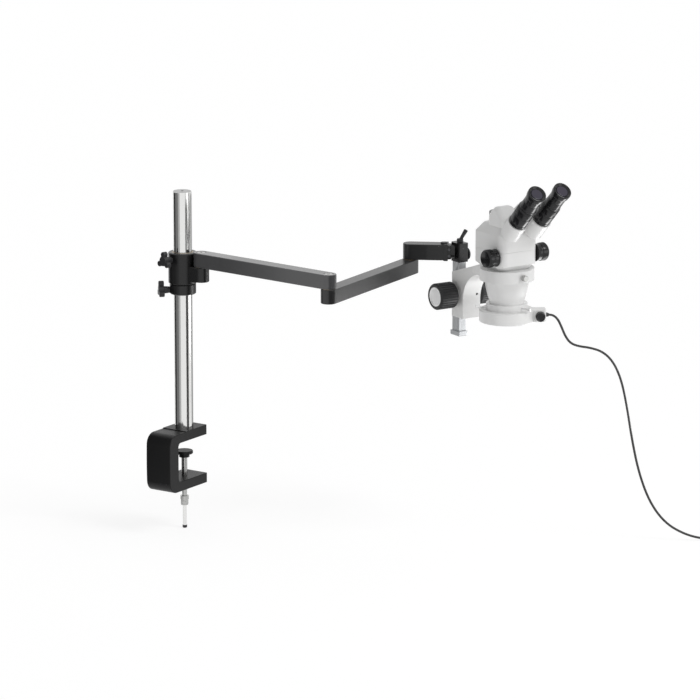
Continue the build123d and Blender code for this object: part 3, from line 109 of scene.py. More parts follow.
# %% Camera
azimuth, elevation, distance = radians(34), radians(13), 8.0
target = picture_right * 0.2838 + up * 0.1508
backwards = Vector((sin(azimuth) * cos(elevation), -cos(azimuth) * cos(elevation), sin(elevation)))
camera_data = bpy.data.cameras.new("camera")
camera_data.lens = 241.5
camera_data.sensor_width = 36
camera_data.clip_end = 100
camera = bpy.data.objects.new("camera", camera_data)
bpy.context.collection.objects.link(camera)
camera.location = target + backwards * distance
camera.rotation_mode = "QUATERNION"
camera.rotation_quaternion = (-backwards).to_track_quat("-Z", "Y")
bpy.context.scene.camera = camera
bpy.context.scene.view_settings.view_transform = "Standard"

# %% [markdown]
# Shader graphs are easier to read as formulas. A Wire holds one output socket, and adding, multiplying or
# comparing wires adds the Math node that does it. A Finish is one material with its surface shader: its
# method node() adds any other node from a type, some settings and some inputs. Colours are mixed by a Mix
# node, because a Math node would turn them grey.

# %% Shader helpers


class Wire:
    """One output socket of a material, with the usual operators."""

    def __init__(self, finish, socket):
        self.finish = finish
        self.socket = socket

    def maths(self, operation, first, second=0.0, clamp=False):
        settings = {"operation": operation, "use_clamp": clamp}
        return self.finish.node("ShaderNodeMath", settings, {0: first, 1: second})

    def __add__(self, other):
        return self.maths("ADD", self, other)

    def __radd__(self, other):
        return self.maths("ADD", other, self)

    def __sub__(self, other):
        return self.maths("SUBTRACT", self, other)

    def __rsub__(self, other):
        return self.maths("SUBTRACT", other, self)

    def __mul__(self, other):
        return self.maths("MULTIPLY", self, other)

    def __rmul__(self, other):
        return self.maths("MULTIPLY", other, self)

    def __abs__(self):
        return self.maths("ABSOLUTE", self)

    def clamped(self):
        return self.maths("ADD", self, 0.0, clamp=True)

    def larger(self, other):
        return self.maths("MAXIMUM", self, other)


class Finish:
    """A material in the making, with its surface shader."""

    def __init__(self, name, roughness=0.5, metallic=0.0, colour=None, **fixed):
        self.material = bpy.data.materials.new(name)
        self.material.use_nodes = True
        self.tree = self.material.node_tree
        self.surface = self.tree.nodes["Principled BSDF"]
        self.feed("Roughness", roughness)
        self.feed("Metallic", metallic)
        if colour:
            self.feed("Base Color", (*colour, 1.0))
            self.material.diffuse_color = (*colour, 1.0)
        for socket, value in fixed.items():
            self.feed(socket.replace("_", " ").title(), value)

    def node(self, kind, settings=None, values=None, out=0):
        """Add a node: its settings first, then the values or wires of its inputs."""
        new = self.tree.nodes.new(kind)
        for key, value in (settings or {}).items():
            setattr(new, key, value)
        for key, value in (values or {}).items():
            if isinstance(value, Wire):
                self.tree.links.new(value.socket, new.inputs[key])
            else:
                new.inputs[key].default_value = value
        return Wire(self, new.outputs[out])

    def feed(self, socket, value):
        if isinstance(value, Wire):
            self.tree.links.new(value.socket, self.surface.inputs[socket])
        else:
            self.surface.inputs[socket].default_value = value

    def place(self, turn=(0.0, 0.0, 0.0), origin=(0.0, 0.0, 0.0), stretch=(1.0, 1.0, 1.0)):
        """Object coordinates seen from a turned frame at an origin, stretched along its axes."""
        spot = self.node("ShaderNodeTexCoord", out=3)
        turned = {"vector_type": "TEXTURE"}
        spot = self.node("ShaderNodeMapping", turned, {0: spot, 1: origin, 2: turn, 3: (1, 1, 1)})
        return self.node("ShaderNodeMapping", {"vector_type": "POINT"}, {0: spot, 3: stretch})

    def part(self, vector, letter):
        return self.node("ShaderNodeSeparateXYZ", None, {0: vector}, "XYZ".index(letter))

    def noise(self, vector, scale, detail=2.0, roughness=0.5):
        values = {"Vector": vector, "Scale": scale, "Detail": detail, "Roughness": roughness}
        return self.node("ShaderNodeTexNoise", None, values)

    def ramp(self, value, low, high):
        """0 below low, 1 above high, with a smooth step between."""
        settings = {"interpolation_type": "SMOOTHSTEP"}
        values = {"Value": value, "From Min": low, "From Max": high}
        return self.node("ShaderNodeMapRange", settings, values)

    def mix(self, factor, first, second):
        """Mix two colours, given as triples or wires."""
        colours = [c if isinstance(c, Wire) else (*c, 1.0) for c in (first, second)]
        settings = {"data_type": "RGBA"}
        return self.node("ShaderNodeMix", settings, {0: factor, 6: colours[0], 7: colours[1]}, 2)

    def bump(self, height, strength, depth):
        """Feed the surface's normal with a height, depth being the height of 1 in metres."""
        values = {"Height": height, "Strength": strength, "Distance": depth}
        self.feed("Normal", self.node("ShaderNodeBump", None, values))

    def band(self, value, centre, half, soft):
        """1 within half of centre, falling to 0 over soft."""
        return 1.0 - self.ramp(abs(value - centre), half, half + soft)


def wear(*objects, finish):
    """Give objects a finish, through their only material slot."""
    for thing in objects:
        thing.data.materials.clear()
        thing.data.materials.append(finish.material)


# %% [markdown]
# The lead of the ring light is a soft thing of a fixed length, so it is one smooth curve. Its points are
# chosen where it hangs, and the length that the picture doesn't show lies in a neat coil, whose
# turns come from a loop: three layers of two turns each. A NURBS spline of order 3 runs smoothly inside
# its points. Drawing it as a mesh tube would fix its shape too early.

# %% Lead of the ring light
lead_exit = head + picture_right * 0.071 - up * 0.0815
lead_route = [
    (0.0000, 0.0000),
    (0.0060, 0.0000),
    (0.0150, -0.0070),
    (0.0215, -0.0210),
    (0.0280, -0.0370),
    (0.0365, -0.0490),
    (0.0500, -0.0545),
    (0.0700, -0.0570),
    (0.0920, -0.0640),
    (0.1100, -0.0820),
    (0.1240, -0.1140),
    (0.1340, -0.1620),
    (0.1430, -0.2180),
    (0.1550, -0.2740),
    (0.1740, -0.3260),
    (0.2010, -0.3630),
    (0.2350, -0.3830),
    (0.2680, -0.3910),
    (0.2960, -0.3910),
]
lead_radius = 0.002
coil_centre = lead_exit + picture_right * 0.304 + picture_back * 0.024
coil_centre.z = lead_exit.z + lead_route[-1][1]
coil_rows = [(0.024, 0), (0.020, 0), (0.020, 1), (0.024, 1), (0.024, 2), (0.020, 2)]
plug_offset = 0.013
plug_radius = 0.005
points_per_turn = 16


def coil_point(turn, step):
    """Point on the coil: each turn keeps its radius and layer, then eases to those of the next."""
    angle = -pi / 2 + 2 * pi * step / points_per_turn
    share = step / points_per_turn
    radius, layer = coil_rows[turn]
    height = layer * 2 * lead_radius
    if turn + 1 < len(coil_rows):
        ease = max(0.0, share - 0.75) * 4
        next_radius, next_layer = coil_rows[turn + 1]
        next_height = next_layer * 2 * lead_radius
    else:
        ease = max(0.0, share - 0.4) / 0.6
        next_radius, next_height = plug_offset, 5 * lead_radius + plug_radius
    ease = ease * ease * (3 - 2 * ease)
    radius += (next_radius - radius) * ease
    height += (next_height - height) * ease
    flat = picture_right * cos(angle) + picture_back * sin(angle)
    return coil_centre + flat * radius + up * height


points = [lead_exit + picture_right * along + up * drop for along, drop in lead_route]
for turn in range(len(coil_rows)):
    for step in range(points_per_turn):
        points.append(coil_point(turn, step))
plug_start = coil_centre + picture_right * 0.002 - picture_back * plug_offset
plug_start.z += 5 * lead_radius + plug_radius
points.append(plug_start)
curve = bpy.data.curves.new("lead_line", "CURVE")
curve.dimensions = "3D"
spline = curve.splines.new("NURBS")
spline.points.add(len(points) - 1)
for slot, point in zip(spline.points, points):
    slot.co = (*point, 1.0)
    slot.radius = lead_radius
spline.order_u = 3
spline.use_endpoint_u = True
spline.resolution_u = 6
curve.bevel_depth = 1.0
curve.bevel_resolution = 4
curve.use_fill_caps = True
lead_line = bpy.data.objects.new("lead_line", curve)
bpy.context.collection.objects.link(lead_line)
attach(lead_line, "head")
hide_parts("lead", "lead_coil")

# %% [markdown]
# The lead's sheath is soft black rubber. It has a dull skin with a fine grain and a slight bloom of grey
# where fingers have rubbed it, so both its roughness and its colour wander a little.

# %% Rubber finish
rubber = Finish("soft_rubber", coat_weight=0.0)
spot = rubber.place()
bloom = rubber.noise(spot, 60.0, 3.0)
grain = rubber.noise(spot, 1800.0, 2.0)
rubber.feed("Base Color", rubber.mix(bloom, (0.018, 0.018, 0.019), (0.045, 0.044, 0.043)))
rubber.feed("Roughness", 0.5 + bloom * 0.25)
rubber.bump(grain, 0.35, 0.0002)
lead_line.data.materials.append(rubber.material)
wear(nodes["cord_gland"], finish=rubber)

# %% [markdown]
# Powder coat on the clamp, the collars and the arms is satin black: a fine orange peel in the gloss, slow
# patches of a lighter black, and bare metal rubbed through in places along the rims. The rims lie at
# known heights, so a narrow band round each height, broken up by noise, shows where the paint is thin.

# %% Satin black powder coat


def powder_coat(name, rims, gloss, shine, dark, light):
    """Satin black paint with an orange peel, worn along rims at the given heights."""
    paint = Finish(name, coat_weight=0.0)
    paint.feed("Specular IOR Level", shine)
    spot = paint.place()
    height = paint.part(spot, "Z")
    patches = paint.noise(spot, 18.0, 4.0)
    peel = paint.noise(spot, 900.0, 3.0)
    scratches = paint.noise(paint.place(stretch=(1.0, 1.0, 0.08)), 420.0, 3.0)
    rubbed = paint.ramp(scratches, 0.6, 0.68)
    edge = None
    for rim in rims:
        line = paint.band(height, rim, 0.0004, 0.0006)
        edge = line if edge is None else edge.larger(line)
    thin = edge * rubbed * paint.ramp(patches, 0.5, 0.66)
    shade = paint.mix(patches, (dark, dark, dark * 1.05), (light, light, light * 1.04))
    paint.feed("Base Color", paint.mix(thin * 0.8, shade, (0.30, 0.30, 0.31)))
    paint.feed("Roughness", (gloss + patches * 0.10 + rubbed * 0.05).clamped())
    paint.feed("Metallic", thin * 0.8)
    paint.bump(peel, 0.18, 0.0003)
    return paint


arm_low, arm_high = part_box("arm_one")
low_arm_low, low_arm_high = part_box("arm_two")
arm_rims = [arm_low.z, arm_high.z, low_arm_low.z, low_arm_high.z]
# The arms all wear one satin black, but each copy of it has its own base shades. Arm one's lighter base
# is painted light, for how the light falls on its sides. Arm two's darker base is painted shade, to
# offset the bright reflection on its sides.
arm_paint = powder_coat("arm_paint", arm_rims, 0.30, 0.5, 0.036, 0.052)
arm_paint.feed("Coat Weight", 0.7)
arm_paint.feed("Coat Roughness", 0.2)
wear(nodes["arm_one"], finish=arm_paint)
second_paint = powder_coat("second_arm_paint", arm_rims, 0.34, 0.4, 0.010, 0.016)
second_paint.feed("Coat Weight", 0.35)
second_paint.feed("Coat Roughness", 0.25)
wear(nodes["arm_two"], finish=second_paint)
end_paint = powder_coat("arm_end_paint", arm_rims, 0.32, 0.3, 0.009, 0.014)
end_paint.feed("Coat Weight", 0.2)
wear(nodes["arm_three"], nodes["tilt_flange"], finish=end_paint)
clamp_low, clamp_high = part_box("clamp_frame")
table_level = 0.0
jaw_top = -0.068
clamp_rims = [clamp_low.z, clamp_high.z, jaw_top, table_level]
# The clamp's and the collars' very dark bases are painted shade: they stand in for dark surroundings that
# the white room does not give them to mirror.
clamp_paint = powder_coat("clamp_paint", clamp_rims, 0.34, 0.22, 0.006, 0.011)
wear(nodes["clamp_frame"], nodes["pressure_pad"], finish=clamp_paint)
collar_low, collar_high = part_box("safety_collar")
carrier_low, carrier_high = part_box("arm_carrier")
collar_rims = [collar_low.z, collar_high.z, carrier_low.z, carrier_high.z]
collar_paint = powder_coat("collar_paint", collar_rims, 0.22, 0.4, 0.006, 0.010)
wear(nodes["safety_collar"], nodes["arm_carrier"], nodes["tilt_bracket"], finish=collar_paint)

# %% [markdown]
# The column is a hard chromed bar. Chrome is almost a mirror, and what makes it look real is a trace of
# the grinding under it: very fine rings that stretch the reflections a little, and a haze where the
# collars have slid. The rings come from a noise that is squeezed along Z.

# %% Chrome and bright steel


def bright_metal(name, colour, gloss, stretch, haze=0.10, depth=0.00002):
    """Metal with fine tool marks along the stretched direction and a patchy haze."""
    metal = Finish(name, metallic=1.0)
    rings = metal.noise(metal.place(stretch=stretch), 700.0, 3.0)
    cloud = metal.noise(metal.place(), 24.0, 3.0)
    darker = tuple(c * 0.82 for c in colour)
    metal.feed("Base Color", metal.mix(cloud, colour, darker))
    metal.feed("Roughness", (gloss + haze * cloud + 0.05 * rings).clamped())
    metal.bump(rings, 0.15, depth)
    return metal


chrome = bright_metal("column_chrome", (0.80, 0.80, 0.79), 0.06, (0.05, 0.05, 1.0), depth=0.000008)
# The column's top face gets a darker grey base with a faint mottle: painted shade, so that the flat top
# mirrors less of the white room.
column_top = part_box("column")[1].z
level = chrome.part(chrome.place(), "Z")
end_face = chrome.ramp(level, column_top - 0.0006, column_top - 0.0002)
top_shade_mottle = chrome.noise(chrome.place(), 900.0)
top_face_shade = chrome.mix(top_shade_mottle, (0.22, 0.22, 0.22), (0.30, 0.30, 0.30))
chrome.feed("Base Color", chrome.mix(end_face, (0.78, 0.78, 0.77), top_face_shade))
wear(nodes["column"], nodes["clamp_handle"], finish=chrome)
steel = bright_metal("turned_steel", (0.50, 0.50, 0.49), 0.20, (0.3, 0.3, 1.0))
steels = ["column_screw", "handle_pin", "clamp_spindle", "shoulder_pivot", "elbow_pivot", "wrist_pivot"]
steels += ["focus_pinion", "holder_screw"]
wear(*[nodes[name] for name in steels], finish=steel)
black_steel = bright_metal("black_oxide_steel", (0.09, 0.09, 0.095), 0.32, (1.0, 1.0, 1.0))
wear(nodes["tilt_flange_screws"], finish=black_steel)
bronze = bright_metal("plain_bronze", (0.34, 0.27, 0.18), 0.28, (0.3, 0.3, 1.0))
bushes = ["carrier_bushes", "shoulder_bush", "elbow_bush", "wrist_bush"]
wear(*[nodes[name] for name in bushes], finish=bronze)
rail_metal = bright_metal("rail_metal", (0.45, 0.46, 0.47), 0.26, (1.0, 1.0, 0.03), 0.08)
wear(nodes["focus_rail"], nodes["rail_foot"], finish=rail_metal)
silver = bright_metal("cap_silver", (0.86, 0.86, 0.86), 0.42, (1.0, 1.0, 1.0), 0.06)

# %% [markdown]
# The knobs are moulded in black plastic. The matt ones have the fine grain of a sparked mould, the glossy
# ones a smooth skin in which only a slow ripple moves the reflections. Both have light wear, a little
# smoother where they are gripped.

# %% Black plastics


def plastic(name, dark, light, gloss, grain_depth, shine):
    """Moulded plastic between two shades, with a grain and a slow ripple."""
    moulded = Finish(name, coat_weight=0.0)
    moulded.feed("Specular IOR Level", shine)
    spot = moulded.place()
    cloud = moulded.noise(spot, 45.0, 3.0)
    grain = moulded.noise(spot, 1500.0, 2.0)
    moulded.feed("Base Color", moulded.mix(cloud, dark, light))
    moulded.feed("Roughness", (gloss + cloud * 0.12).clamped())
    moulded.bump(grain, 0.3, grain_depth)
    return moulded


knob_shades = (0.016, 0.016, 0.017), (0.032, 0.032, 0.034)
knob_plastic = plastic("knob_plastic", *knob_shades, 0.36, 0.00012, 0.3)
matt_knobs = ["safety_knob", "carrier_knob", "handle_tip", "tilt_lever", "bracket_knob"]
matt_knobs += ["tension_screw", "tilt_lock_screw", "dc_plug"]
wear(*[nodes[name] for name in matt_knobs], finish=knob_plastic)
grip_shades = (0.014, 0.014, 0.015), (0.030, 0.030, 0.031)
grip_rubber = plastic("grip_rubber", *grip_shades, 0.40, 0.0002, 0.4)
gloss_shades = (0.007, 0.007, 0.008), (0.012, 0.012, 0.013)
gloss_black = plastic("gloss_black", *gloss_shades, 0.09, 0.00002, 0.32)
wear(nodes["photo_tube"], finish=gloss_black)

# %% [markdown]
# The head and the focusing arm are castings under a smooth white enamel. White paint is never quite one
# white: it is a little warmer and greyer where hands and dust reach it, and its gloss wanders. The ring
# light is white plastic with a finer, glossier skin.

# %% White enamel and white plastic


def white_paint(name, clean, soiled, gloss, coat):
    """White surface with a faint soiling in slow patches and a fine orange peel."""
    paint = Finish(name, coat_weight=coat, coat_roughness=0.15)
    spot = paint.place()
    cloud = paint.noise(spot, 9.0, 5.0)
    speck = paint.ramp(paint.noise(spot, 260.0, 2.0), 0.70, 0.78)
    soil = (paint.ramp(cloud, 0.42, 0.72) * 0.55 + speck * 0.18).clamped()
    paint.feed("Base Color", paint.mix(soil, clean, soiled))
    paint.feed("Roughness", (gloss + cloud * 0.14 + speck * 0.1).clamped())
    paint.bump(paint.noise(spot, 700.0, 3.0), 0.10, 0.0002)
    return paint


enamel = white_paint("white_enamel", (0.73, 0.73, 0.725), (0.65, 0.645, 0.635), 0.30, 0.15)
enamelled = ["focus_arm", "lower_body", "main_body", "top_cover"]
enamelled += ["prism_housing_left", "prism_housing_right"]
wear(*[nodes[name] for name in enamelled], finish=enamel)
lamp_white = white_paint("lamp_white", (0.75, 0.75, 0.745), (0.69, 0.69, 0.675), 0.24, 0.2)
wear(nodes["ring_light"], finish=lamp_white)

# %% [markdown]
# Lenses and the lamp's diffuser. Coated glass throws back a faint violet or green sheen, and behind it
# the tube is dark, so a dark glossy body with a strong clear coat reads as a lens from every side and
# exports well. The diffuser is opal: almost white, soft, with a grain in it.

# %% Glass and opal
glass = Finish("coated_glass", coat_weight=0.35, coat_roughness=0.02)
glass.feed("Specular IOR Level", 0.35)
sheen = glass.noise(glass.place(), 30.0, 1.0)
glass.feed("Base Color", glass.mix(sheen, (0.010, 0.011, 0.026), (0.026, 0.016, 0.040)))
glass.feed("Roughness", 0.03 + sheen * 0.03)
wear(nodes["objective_lens"], nodes["eye_lens_left"], nodes["eye_lens_right"], finish=glass)
opal = Finish("opal_diffuser", coat_weight=0.1)
milk = opal.noise(opal.place(), 120.0, 3.0)
opal.feed("Base Color", opal.mix(milk, (0.86, 0.86, 0.83), (0.80, 0.80, 0.78)))
opal.feed("Roughness", 0.45 + milk * 0.15)
wear(nodes["ring_light_diffuser"], finish=opal)

# %% [markdown]
# Knobs, rings and tubes are turned or moulded round parts. On a lathe their outline is cut while the
# stock spins, and here it is drawn as a wire of radius and height points, its corners are rounded by
# bevelling the points, and a full spin makes the skin. Grips come from sinking every second column of
# faces, as a milling cutter would. Each shape is drawn about its own Z axis and then moved to its place
# on the stand.

# %% Turning helpers


def turned(outline, columns=96, rounding=0.0):
    """Skin of a turned part from its outline of radius and height points."""
    shape = bmesh.new()
    corners = [shape.verts.new((radius, 0.0, height)) for radius, height in outline]
    for pair in zip(corners, corners[1:]):
        shape.edges.new(pair)
    if rounding:
        bmesh.ops.bevel(
            shape,
            geom=corners[1:-1],
            offset=rounding,
            offset_type="OFFSET",
            segments=3,
            profile=0.5,
            affect="VERTICES",
            material=-1,
        )
    line = list(shape.verts) + list(shape.edges)
    bmesh.ops.spin(shape, geom=line, axis=(0, 0, 1), angle=2 * pi, steps=columns, use_merge=True)
    bmesh.ops.remove_doubles(shape, verts=shape.verts, dist=0.000003)
    bmesh.ops.recalc_face_normals(shape, faces=shape.faces)
    return shape


def grooved(shape, columns, reach, low, high, margin, depth):
    """Sink every second column of faces beyond a reach and between two heights, which leaves ribs."""
    sunk = []
    for face in shape.faces:
        middle = face.calc_center_median()
        column = int((atan2(middle.y, middle.x) / (2 * pi) + 1) * columns)
        if middle.xy.length > reach and low < abs(middle.z) < high and column % 2:
            sunk.append(face)
    bmesh.ops.inset_region(shape, faces=sunk, thickness=margin, depth=-depth, use_even_offset=True)
    bmesh.ops.recalc_face_normals(shape, faces=shape.faces)


def finished(name, shapes, body, finish):
    """Join drawn shapes, each with its place, into one piece that rides on a body."""
    whole = bmesh.new()
    data = bpy.data.meshes.new(name)
    for shape, place in shapes:
        bmesh.ops.transform(shape, matrix=place, verts=shape.verts)
        shape.to_mesh(data)
        whole.from_mesh(data)
        shape.free()
    whole.to_mesh(data)
    whole.free()
    data.shade_smooth()
    data.set_sharp_from_angle(angle=radians(34))
    thing = bpy.data.objects.new(name, data)
    bpy.context.collection.objects.link(thing)
    wear(thing, finish=finish)
    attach(thing, body)
    print(name, "faces", len(data.polygons))
    return thing


# %% [markdown]
# The two focus knobs sit at the ends of the pinion. Each is moulded black, with broad grip flutes that
# run out through the rounded rim, a bore for the pinion, and a shallow recess for a light cap. Thirty
# flutes are thirty pairs of columns in the spin.

# %% Focus knobs and caps
pinion_axis = rail + head_front * 0.0138 + up * 0.245
knob_start = 0.0227
knob_columns = 60
knob_outline = [
    (0.0, 0.024),
    (0.00305, 0.024),
    (0.00305, 0.0),
    (0.0190, 0.0),
    (0.0226, 0.0032),
    (0.0227, 0.0345),
    (0.0206, 0.0368),
    (0.0173, 0.0368),
    (0.0171, 0.0352),
    (0.0, 0.0352),
]
cap_outline = [
    (0.0, 0.0),
    (0.01690, 0.0),
    (0.01690, 0.0010),
    (0.0162, 0.0016),
    (0.0151, 0.0016),
    (0.0134, 0.0006),
    (0.0118, 0.0009),
    (0.0, 0.0009),
]
caps = []
for side, direction in (("left", -head_right), ("right", head_right)):
    knob = turned(knob_outline, knob_columns, 0.0005)
    grooved(knob, knob_columns, 0.0190, 0.0030, 0.0366, 0.0003, 0.0009)
    place = frame_at(pinion_axis + direction * knob_start, direction, up)
    shapes = [(knob, place)]
    piece = finished(f"focus_grip_{side}", shapes, "pinion", grip_rubber)
    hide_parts(f"focus_knob_{side}")
    cap_place = frame_at(pinion_axis + direction * (knob_start + 0.0352), direction, up)
    caps.append((turned(cap_outline, 96, 0.0002), cap_place))
focus_caps = finished("focus_caps", caps, "pinion", silver)
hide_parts("focus_knob_caps")

# %% [markdown]
# One shaft carries both zoom knobs, so they are one piece and turn together. Each has a thin flange
# against the body, a smooth glossy neck and a ribbed drum with a rounded end. The outline of one side is
# mirrored by taking its points in reverse with their heights turned over.

# %% Zoom knobs
body_half = 0.0393
zoom_columns = 64
one_side = [
    (0.0030, body_half),
    (0.0152, body_half),
    (0.0152, body_half + 0.0018),
    (0.0143, body_half + 0.0022),
    (0.0143, body_half + 0.0088),
    (0.0153, body_half + 0.0098),
    (0.0157, body_half + 0.0190),
    (0.0138, body_half + 0.0216),
    (0.0, body_half + 0.0218),
]
both_sides = [(radius, -height) for radius, height in reversed(one_side)] + one_side
zoom = turned(both_sides, zoom_columns, 0.0006)
grooved(zoom, zoom_columns, 0.0148, body_half + 0.0099, body_half + 0.0205, 0.00012, 0.0005)
zoom_axis = head_frame @ Matrix.Translation((0.0, -0.023, 0.025)) @ Matrix.Rotation(pi / 2, 4, "Y")
zoom_grips = finished("zoom_grips", [(zoom, zoom_axis)], "zoom", gloss_black)
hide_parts("zoom_knobs")

# %% [markdown]
# The eyepieces lean back at 45 degrees. The focusing ring at the foot of each tube screws up and down for
# the weaker eye: it has a smooth skirt, two fine grooves and a knurled band. The eyepiece above it is a
# plain barrel with a soft cup round the lens, whose rim is rounded because it touches the face. The lens
# stays the glass of the frame, and the cup's throat slopes in to meet it.

# %% Diopter rings and eyepieces
ring_columns = 120
ring_outline = [
    (0.0090, -0.0080),
    (0.0110, -0.0080),
    (0.0110, 0.0001),
    (0.0157, 0.0001),
    (0.0160, 0.0010),
    (0.0160, 0.0060),
    (0.0156, 0.0064),
    (0.0156, 0.0076),
    (0.0160, 0.0080),
    (0.0160, 0.0230),
    (0.0152, 0.0236),
    (0.0152, 0.0250),
    (0.0159, 0.0256),
    (0.0159, 0.0392),
    (0.0152, 0.0400),
    (0.0150, 0.0418),
    (0.01265, 0.0419),
    (0.01265, 0.0349),
    (0.0090, 0.0349),
    (0.0090, -0.0080),
]
eyepiece_outline = [
    (0.0090, 0.0350),
    (0.0126, 0.0350),
    (0.0126, 0.0420),
    (0.0146, 0.0421),
    (0.0146, 0.0450),
    (0.0140, 0.0458),
    (0.0139, 0.0580),
    (0.0136, 0.0583),
    (0.0136, 0.0592),
    (0.0140, 0.0596),
    (0.0142, 0.0700),
    (0.0157, 0.0722),
    (0.0160, 0.0790),
    (0.0155, 0.0815),
    (0.0140, 0.0819),
    (0.0124, 0.0806),
    (0.0105, 0.0794),
    (0.0105, 0.0769),
    (0.0090, 0.0769),
    (0.0090, 0.0350),
]
for name, side in (("left", -1), ("right", 1)):
    pivot = head_frame @ Matrix.Translation((side * 0.0226, -0.010, 0.0))
    pivot = pivot @ Matrix.Rotation(radians(side * 1.5), 4, "Z")
    nose = pivot @ Matrix.Translation((0.0, -0.055, 0.091)) @ Matrix.Rotation(radians(45), 4, "X")
    ring = turned(ring_outline, ring_columns, 0.0002)
    grooved(ring, ring_columns, 0.0155, 0.0262, 0.0386, 0.00008, 0.0003)
    tube = turned(eyepiece_outline, 96, 0.0003)
    body = f"{name}_ocular"
    ring_piece = finished(f"focus_ring_{name}", [(ring, nose)], body, gloss_black)
    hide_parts(f"diopter_ring_{name}")
    tube_piece = finished(f"ocular_{name}", [(tube, nose)], body, gloss_black)
    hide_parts(f"eyepiece_{name}")

# %% [markdown]
# Small turned pieces of the lamp: the dimmer knob on the switch box has ribs and a dished face, and the
# three thumb screws that hold the ring on the objective are thin pins with knurled heads.

# %% Dimmer knob and thumb screws
lamp_box = head_frame @ Matrix.Rotation(radians(-33), 4, "Z")
dimmer_axis = lamp_box @ Matrix.Translation((0.0565, -0.013, -0.0815)) @ Matrix.Rotation(pi / 2, 4, "X")
dimmer_columns = 36
dimmer_outline = [
    (0.0, -0.0060),
    (0.0030, -0.0060),
    (0.0030, 0.0001),
    (0.0082, 0.0001),
    (0.0085, 0.0008),
    (0.0080, 0.0084),
    (0.0074, 0.0090),
    (0.0058, 0.0090),
    (0.0050, 0.0083),
    (0.0, 0.0083),
]
dimmer = turned(dimmer_outline, dimmer_columns, 0.0002)
grooved(dimmer, dimmer_columns, 0.0075, 0.0008, 0.0088, 0.0002, 0.0006)
dimmer_grip = finished("dimmer_grip", [(dimmer, dimmer_axis)], "dimmer", gloss_black)
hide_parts("dimmer_knob")
screw_columns = 32
screw_start = 0.02955
screw_level = -0.065
screw_outline = [
    (0.0, 0.0),
    (0.0013, 0.0),
    (0.0013, 0.0195),
    (0.0022, 0.0196),
    (0.0026, 0.0200),
    (0.0026, 0.0246),
    (0.0022, 0.0250),
    (0.0, 0.0250),
]
thumb_screws = []
for angle in (162, 282, 42):
    screw = turned(screw_outline, screw_columns, 0.0001)
    grooved(screw, screw_columns, 0.0024, 0.0200, 0.0247, 0.00005, 0.0002)
    bearing = head_frame @ Matrix.Rotation(radians(angle), 4, "Z")
    place = bearing @ Matrix.Translation((screw_start, 0.0, screw_level))
    thumb_screws.append((screw, place @ Matrix.Rotation(pi / 2, 4, "Y")))
lamp_screws = finished("lamp_screws", thumb_screws, "head", silver)
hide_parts("ring_light_screws")

# %% [markdown]
# The studio is a white floor under soft light. The floor looks white to the camera and to mirrors, yet
# takes the object's shadow, so its shader mixes a plain white emission with a diffuse one for those rays.
# The world does the same: white where it is seen or mirrored, and dimmer where it lights the object. A
# wide sun stands for a window on the right, and an oblong lamp gives the arms their long highlights.
# The leaning eyepieces mirror what lies below them, so a second lamp down there, which only reflections
# see, draws the bright line along their right sides.

# %% Floor, world and lamps


def studio_white(name, keep_shadow):
    """Floor material: white for camera, glossy and transmission rays, with part of the shadow kept."""
    white = Finish(name, colour=(0.92, 0.92, 0.92), roughness=0.9)
    white.feed("Emission Color", (1.0, 1.0, 1.0, 1.0))
    white.feed("Emission Strength", 0.36)
    seen = white.node("ShaderNodeLightPath", out=0)
    mirrored = white.node("ShaderNodeLightPath", out=3)
    through = white.node("ShaderNodeLightPath", out=6)
    glow = white.node("ShaderNodeEmission", None, {"Color": (1, 1, 1, 1), "Strength": 1.0})
    share = seen.larger(mirrored).larger(through) * (1.0 - keep_shadow)
    body = Wire(white, white.surface.outputs[0])
    both = white.node("ShaderNodeMixShader", None, {0: share, 1: body, 2: glow})
    output = white.tree.nodes["Material Output"]
    white.tree.links.new(both.socket, output.inputs["Surface"])
    return white


floor_mesh = bmesh.new()
bmesh.ops.create_grid(floor_mesh, x_segments=2, y_segments=2, size=30.0)
bmesh.ops.translate(floor_mesh, verts=floor_mesh.verts, vec=(0, 0, solid_low.z - 0.0005))
floor_data = bpy.data.meshes.new("floor")
floor_mesh.to_mesh(floor_data)
floor_mesh.free()
floor = bpy.data.objects.new("floor", floor_data)
bpy.context.collection.objects.link(floor)
wear(floor, finish=studio_white("studio_floor", 0.30))

world = bpy.data.worlds.new("studio")
world.use_nodes = True
bpy.context.scene.world = world
sky_nodes, sky_links = world.node_tree.nodes, world.node_tree.links
sky = sky_nodes["Background"]
sky.inputs["Color"].default_value = (1.0, 1.0, 1.0, 1.0)
ray = sky_nodes.new("ShaderNodeLightPath")
seen = ray.outputs["Is Camera Ray"]
for kind in ("Is Glossy Ray", "Is Transmission Ray"):
    either = sky_nodes.new("ShaderNodeMath")
    either.operation = "MAXIMUM"
    sky_links.new(seen, either.inputs[0])
    sky_links.new(ray.outputs[kind], either.inputs[1])
    seen = either.outputs[0]
strength = sky_nodes.new("ShaderNodeMapRange")
strength.inputs["To Min"].default_value = 0.42
strength.inputs["To Max"].default_value = 1.0
sky_links.new(seen, strength.inputs["Value"])
sky_links.new(strength.outputs[0], sky.inputs["Strength"])


def aimed(name, data, place, aim):
    """Object at a place whose -Z axis points at aim."""
    thing = bpy.data.objects.new(name, data)
    bpy.context.collection.objects.link(thing)
    thing.location = place
    thing.rotation_mode = "QUATERNION"
    thing.rotation_quaternion = (Vector(aim) - Vector(place)).to_track_quat("-Z", "Y")
    return thing


def soft_lamp(name, place, aim, width, height, power):
    """Oblong area lamp at a place, pointed at aim, which the camera doesn't see."""
    lamp = bpy.data.lights.new(name, "AREA")
    lamp.shape = "RECTANGLE"
    lamp.size = width
    lamp.size_y = height
    lamp.energy = power
    thing = aimed(name, lamp, place, aim)
    thing.visible_camera = False
    return thing


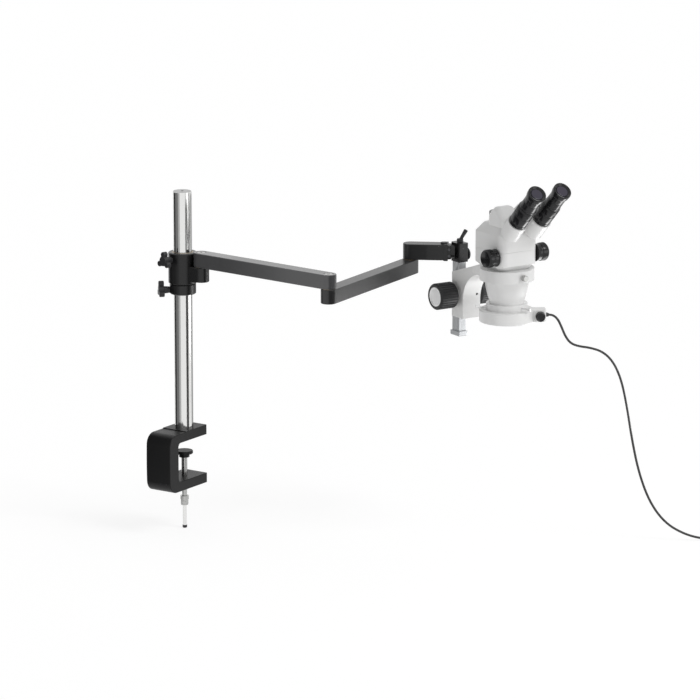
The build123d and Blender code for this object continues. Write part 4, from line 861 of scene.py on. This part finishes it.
middle = (solid_low + solid_high) / 2
towards = Vector((backwards.x, backwards.y, 0)).normalized()
daylight = bpy.data.lights.new("window_light", "SUN")
daylight.energy = 1.05
daylight.angle = radians(24)
aimed("window_light", daylight, middle + picture_right * 0.8 + towards * 0.5 + up * 1.0, middle)
side = middle + picture_right * 1.3 + towards * 0.7 + up * 0.2
soft_lamp("side_lamp", side, middle, 0.7, 0.7, 2.2)
eye_middle = head + head_front * 0.107 + up * 0.135
tube_axis = (head_front + up).normalized()
along_tube = tube_axis * backwards.dot(tube_axis)
across = Matrix.Rotation(radians(98), 3, tube_axis) @ (backwards - along_tube)
mirrored_place = eye_middle + (across - along_tube) * 0.45
eye_lamp = soft_lamp("eyepiece_lamp", mirrored_place, eye_middle, 0.30, 0.15, 0.75)
eye_lamp.visible_diffuse = False

# %% [markdown]
# A bright chrome bar shows only what stands round it. In a white room it would vanish, so paper strips
# stand round it that only reflections see: black behind on the left for the dark rim, then two greys, a
# narrow dark one on the right for the stripe and a pale one behind on the right. Each is given by the
# bearing at which it stands, half the angle that it fills, its grey, its distance and its top. The
# camera looks down a little, so a strip that stands further out can be lower and still fill the
# column's reflection. The two on the arm's side do that, because the top of the arm would mirror them.

# %% Reflection cards


def card(name, centre, facing, width, height, glow):
    """Flat card with an even glow, seen by reflections only."""
    sheet = bmesh.new()
    bmesh.ops.create_grid(sheet, x_segments=1, y_segments=1, size=0.5)
    bmesh.ops.scale(sheet, verts=sheet.verts, vec=(width, height, 1.0))
    bmesh.ops.transform(sheet, matrix=frame_at(centre, facing, up.cross(facing)), verts=sheet.verts)
    data = bpy.data.meshes.new(name)
    sheet.to_mesh(data)
    sheet.free()
    thing = bpy.data.objects.new(name, data)
    bpy.context.collection.objects.link(thing)
    paper = Finish(name, colour=(0.0, 0.0, 0.0), roughness=1.0)
    paper.feed("Specular IOR Level", 0.0)
    paper.feed("Emission Color", (1.0, 1.0, 1.0, 1.0))
    paper.feed("Emission Strength", glow)
    wear(thing, finish=paper)
    thing.visible_camera = False
    thing.visible_diffuse = False
    thing.visible_transmission = False
    thing.visible_shadow = False


strip_foot = solid_low.z
strips = [
    ("strip_rim", 197, 18, 0.035, 0.22, 0.43),
    ("strip_grey", 234, 19, 0.19, 0.22, 0.43),
    ("strip_pale", 264, 11, 0.48, 0.22, 0.43),
    ("strip_stripe", -4, 15, 0.06, 0.40, 0.335),
    ("strip_back", 84, 24, 0.40, 0.25, 0.375),
]
for name, bearing, half_angle, grey, reach, top in strips:
    width = 2 * reach * tan(radians(half_angle))
    centre = heading(bearing) * reach + up * (strip_foot + top) / 2
    card(name, centre, -heading(bearing), width, top - strip_foot, grey)
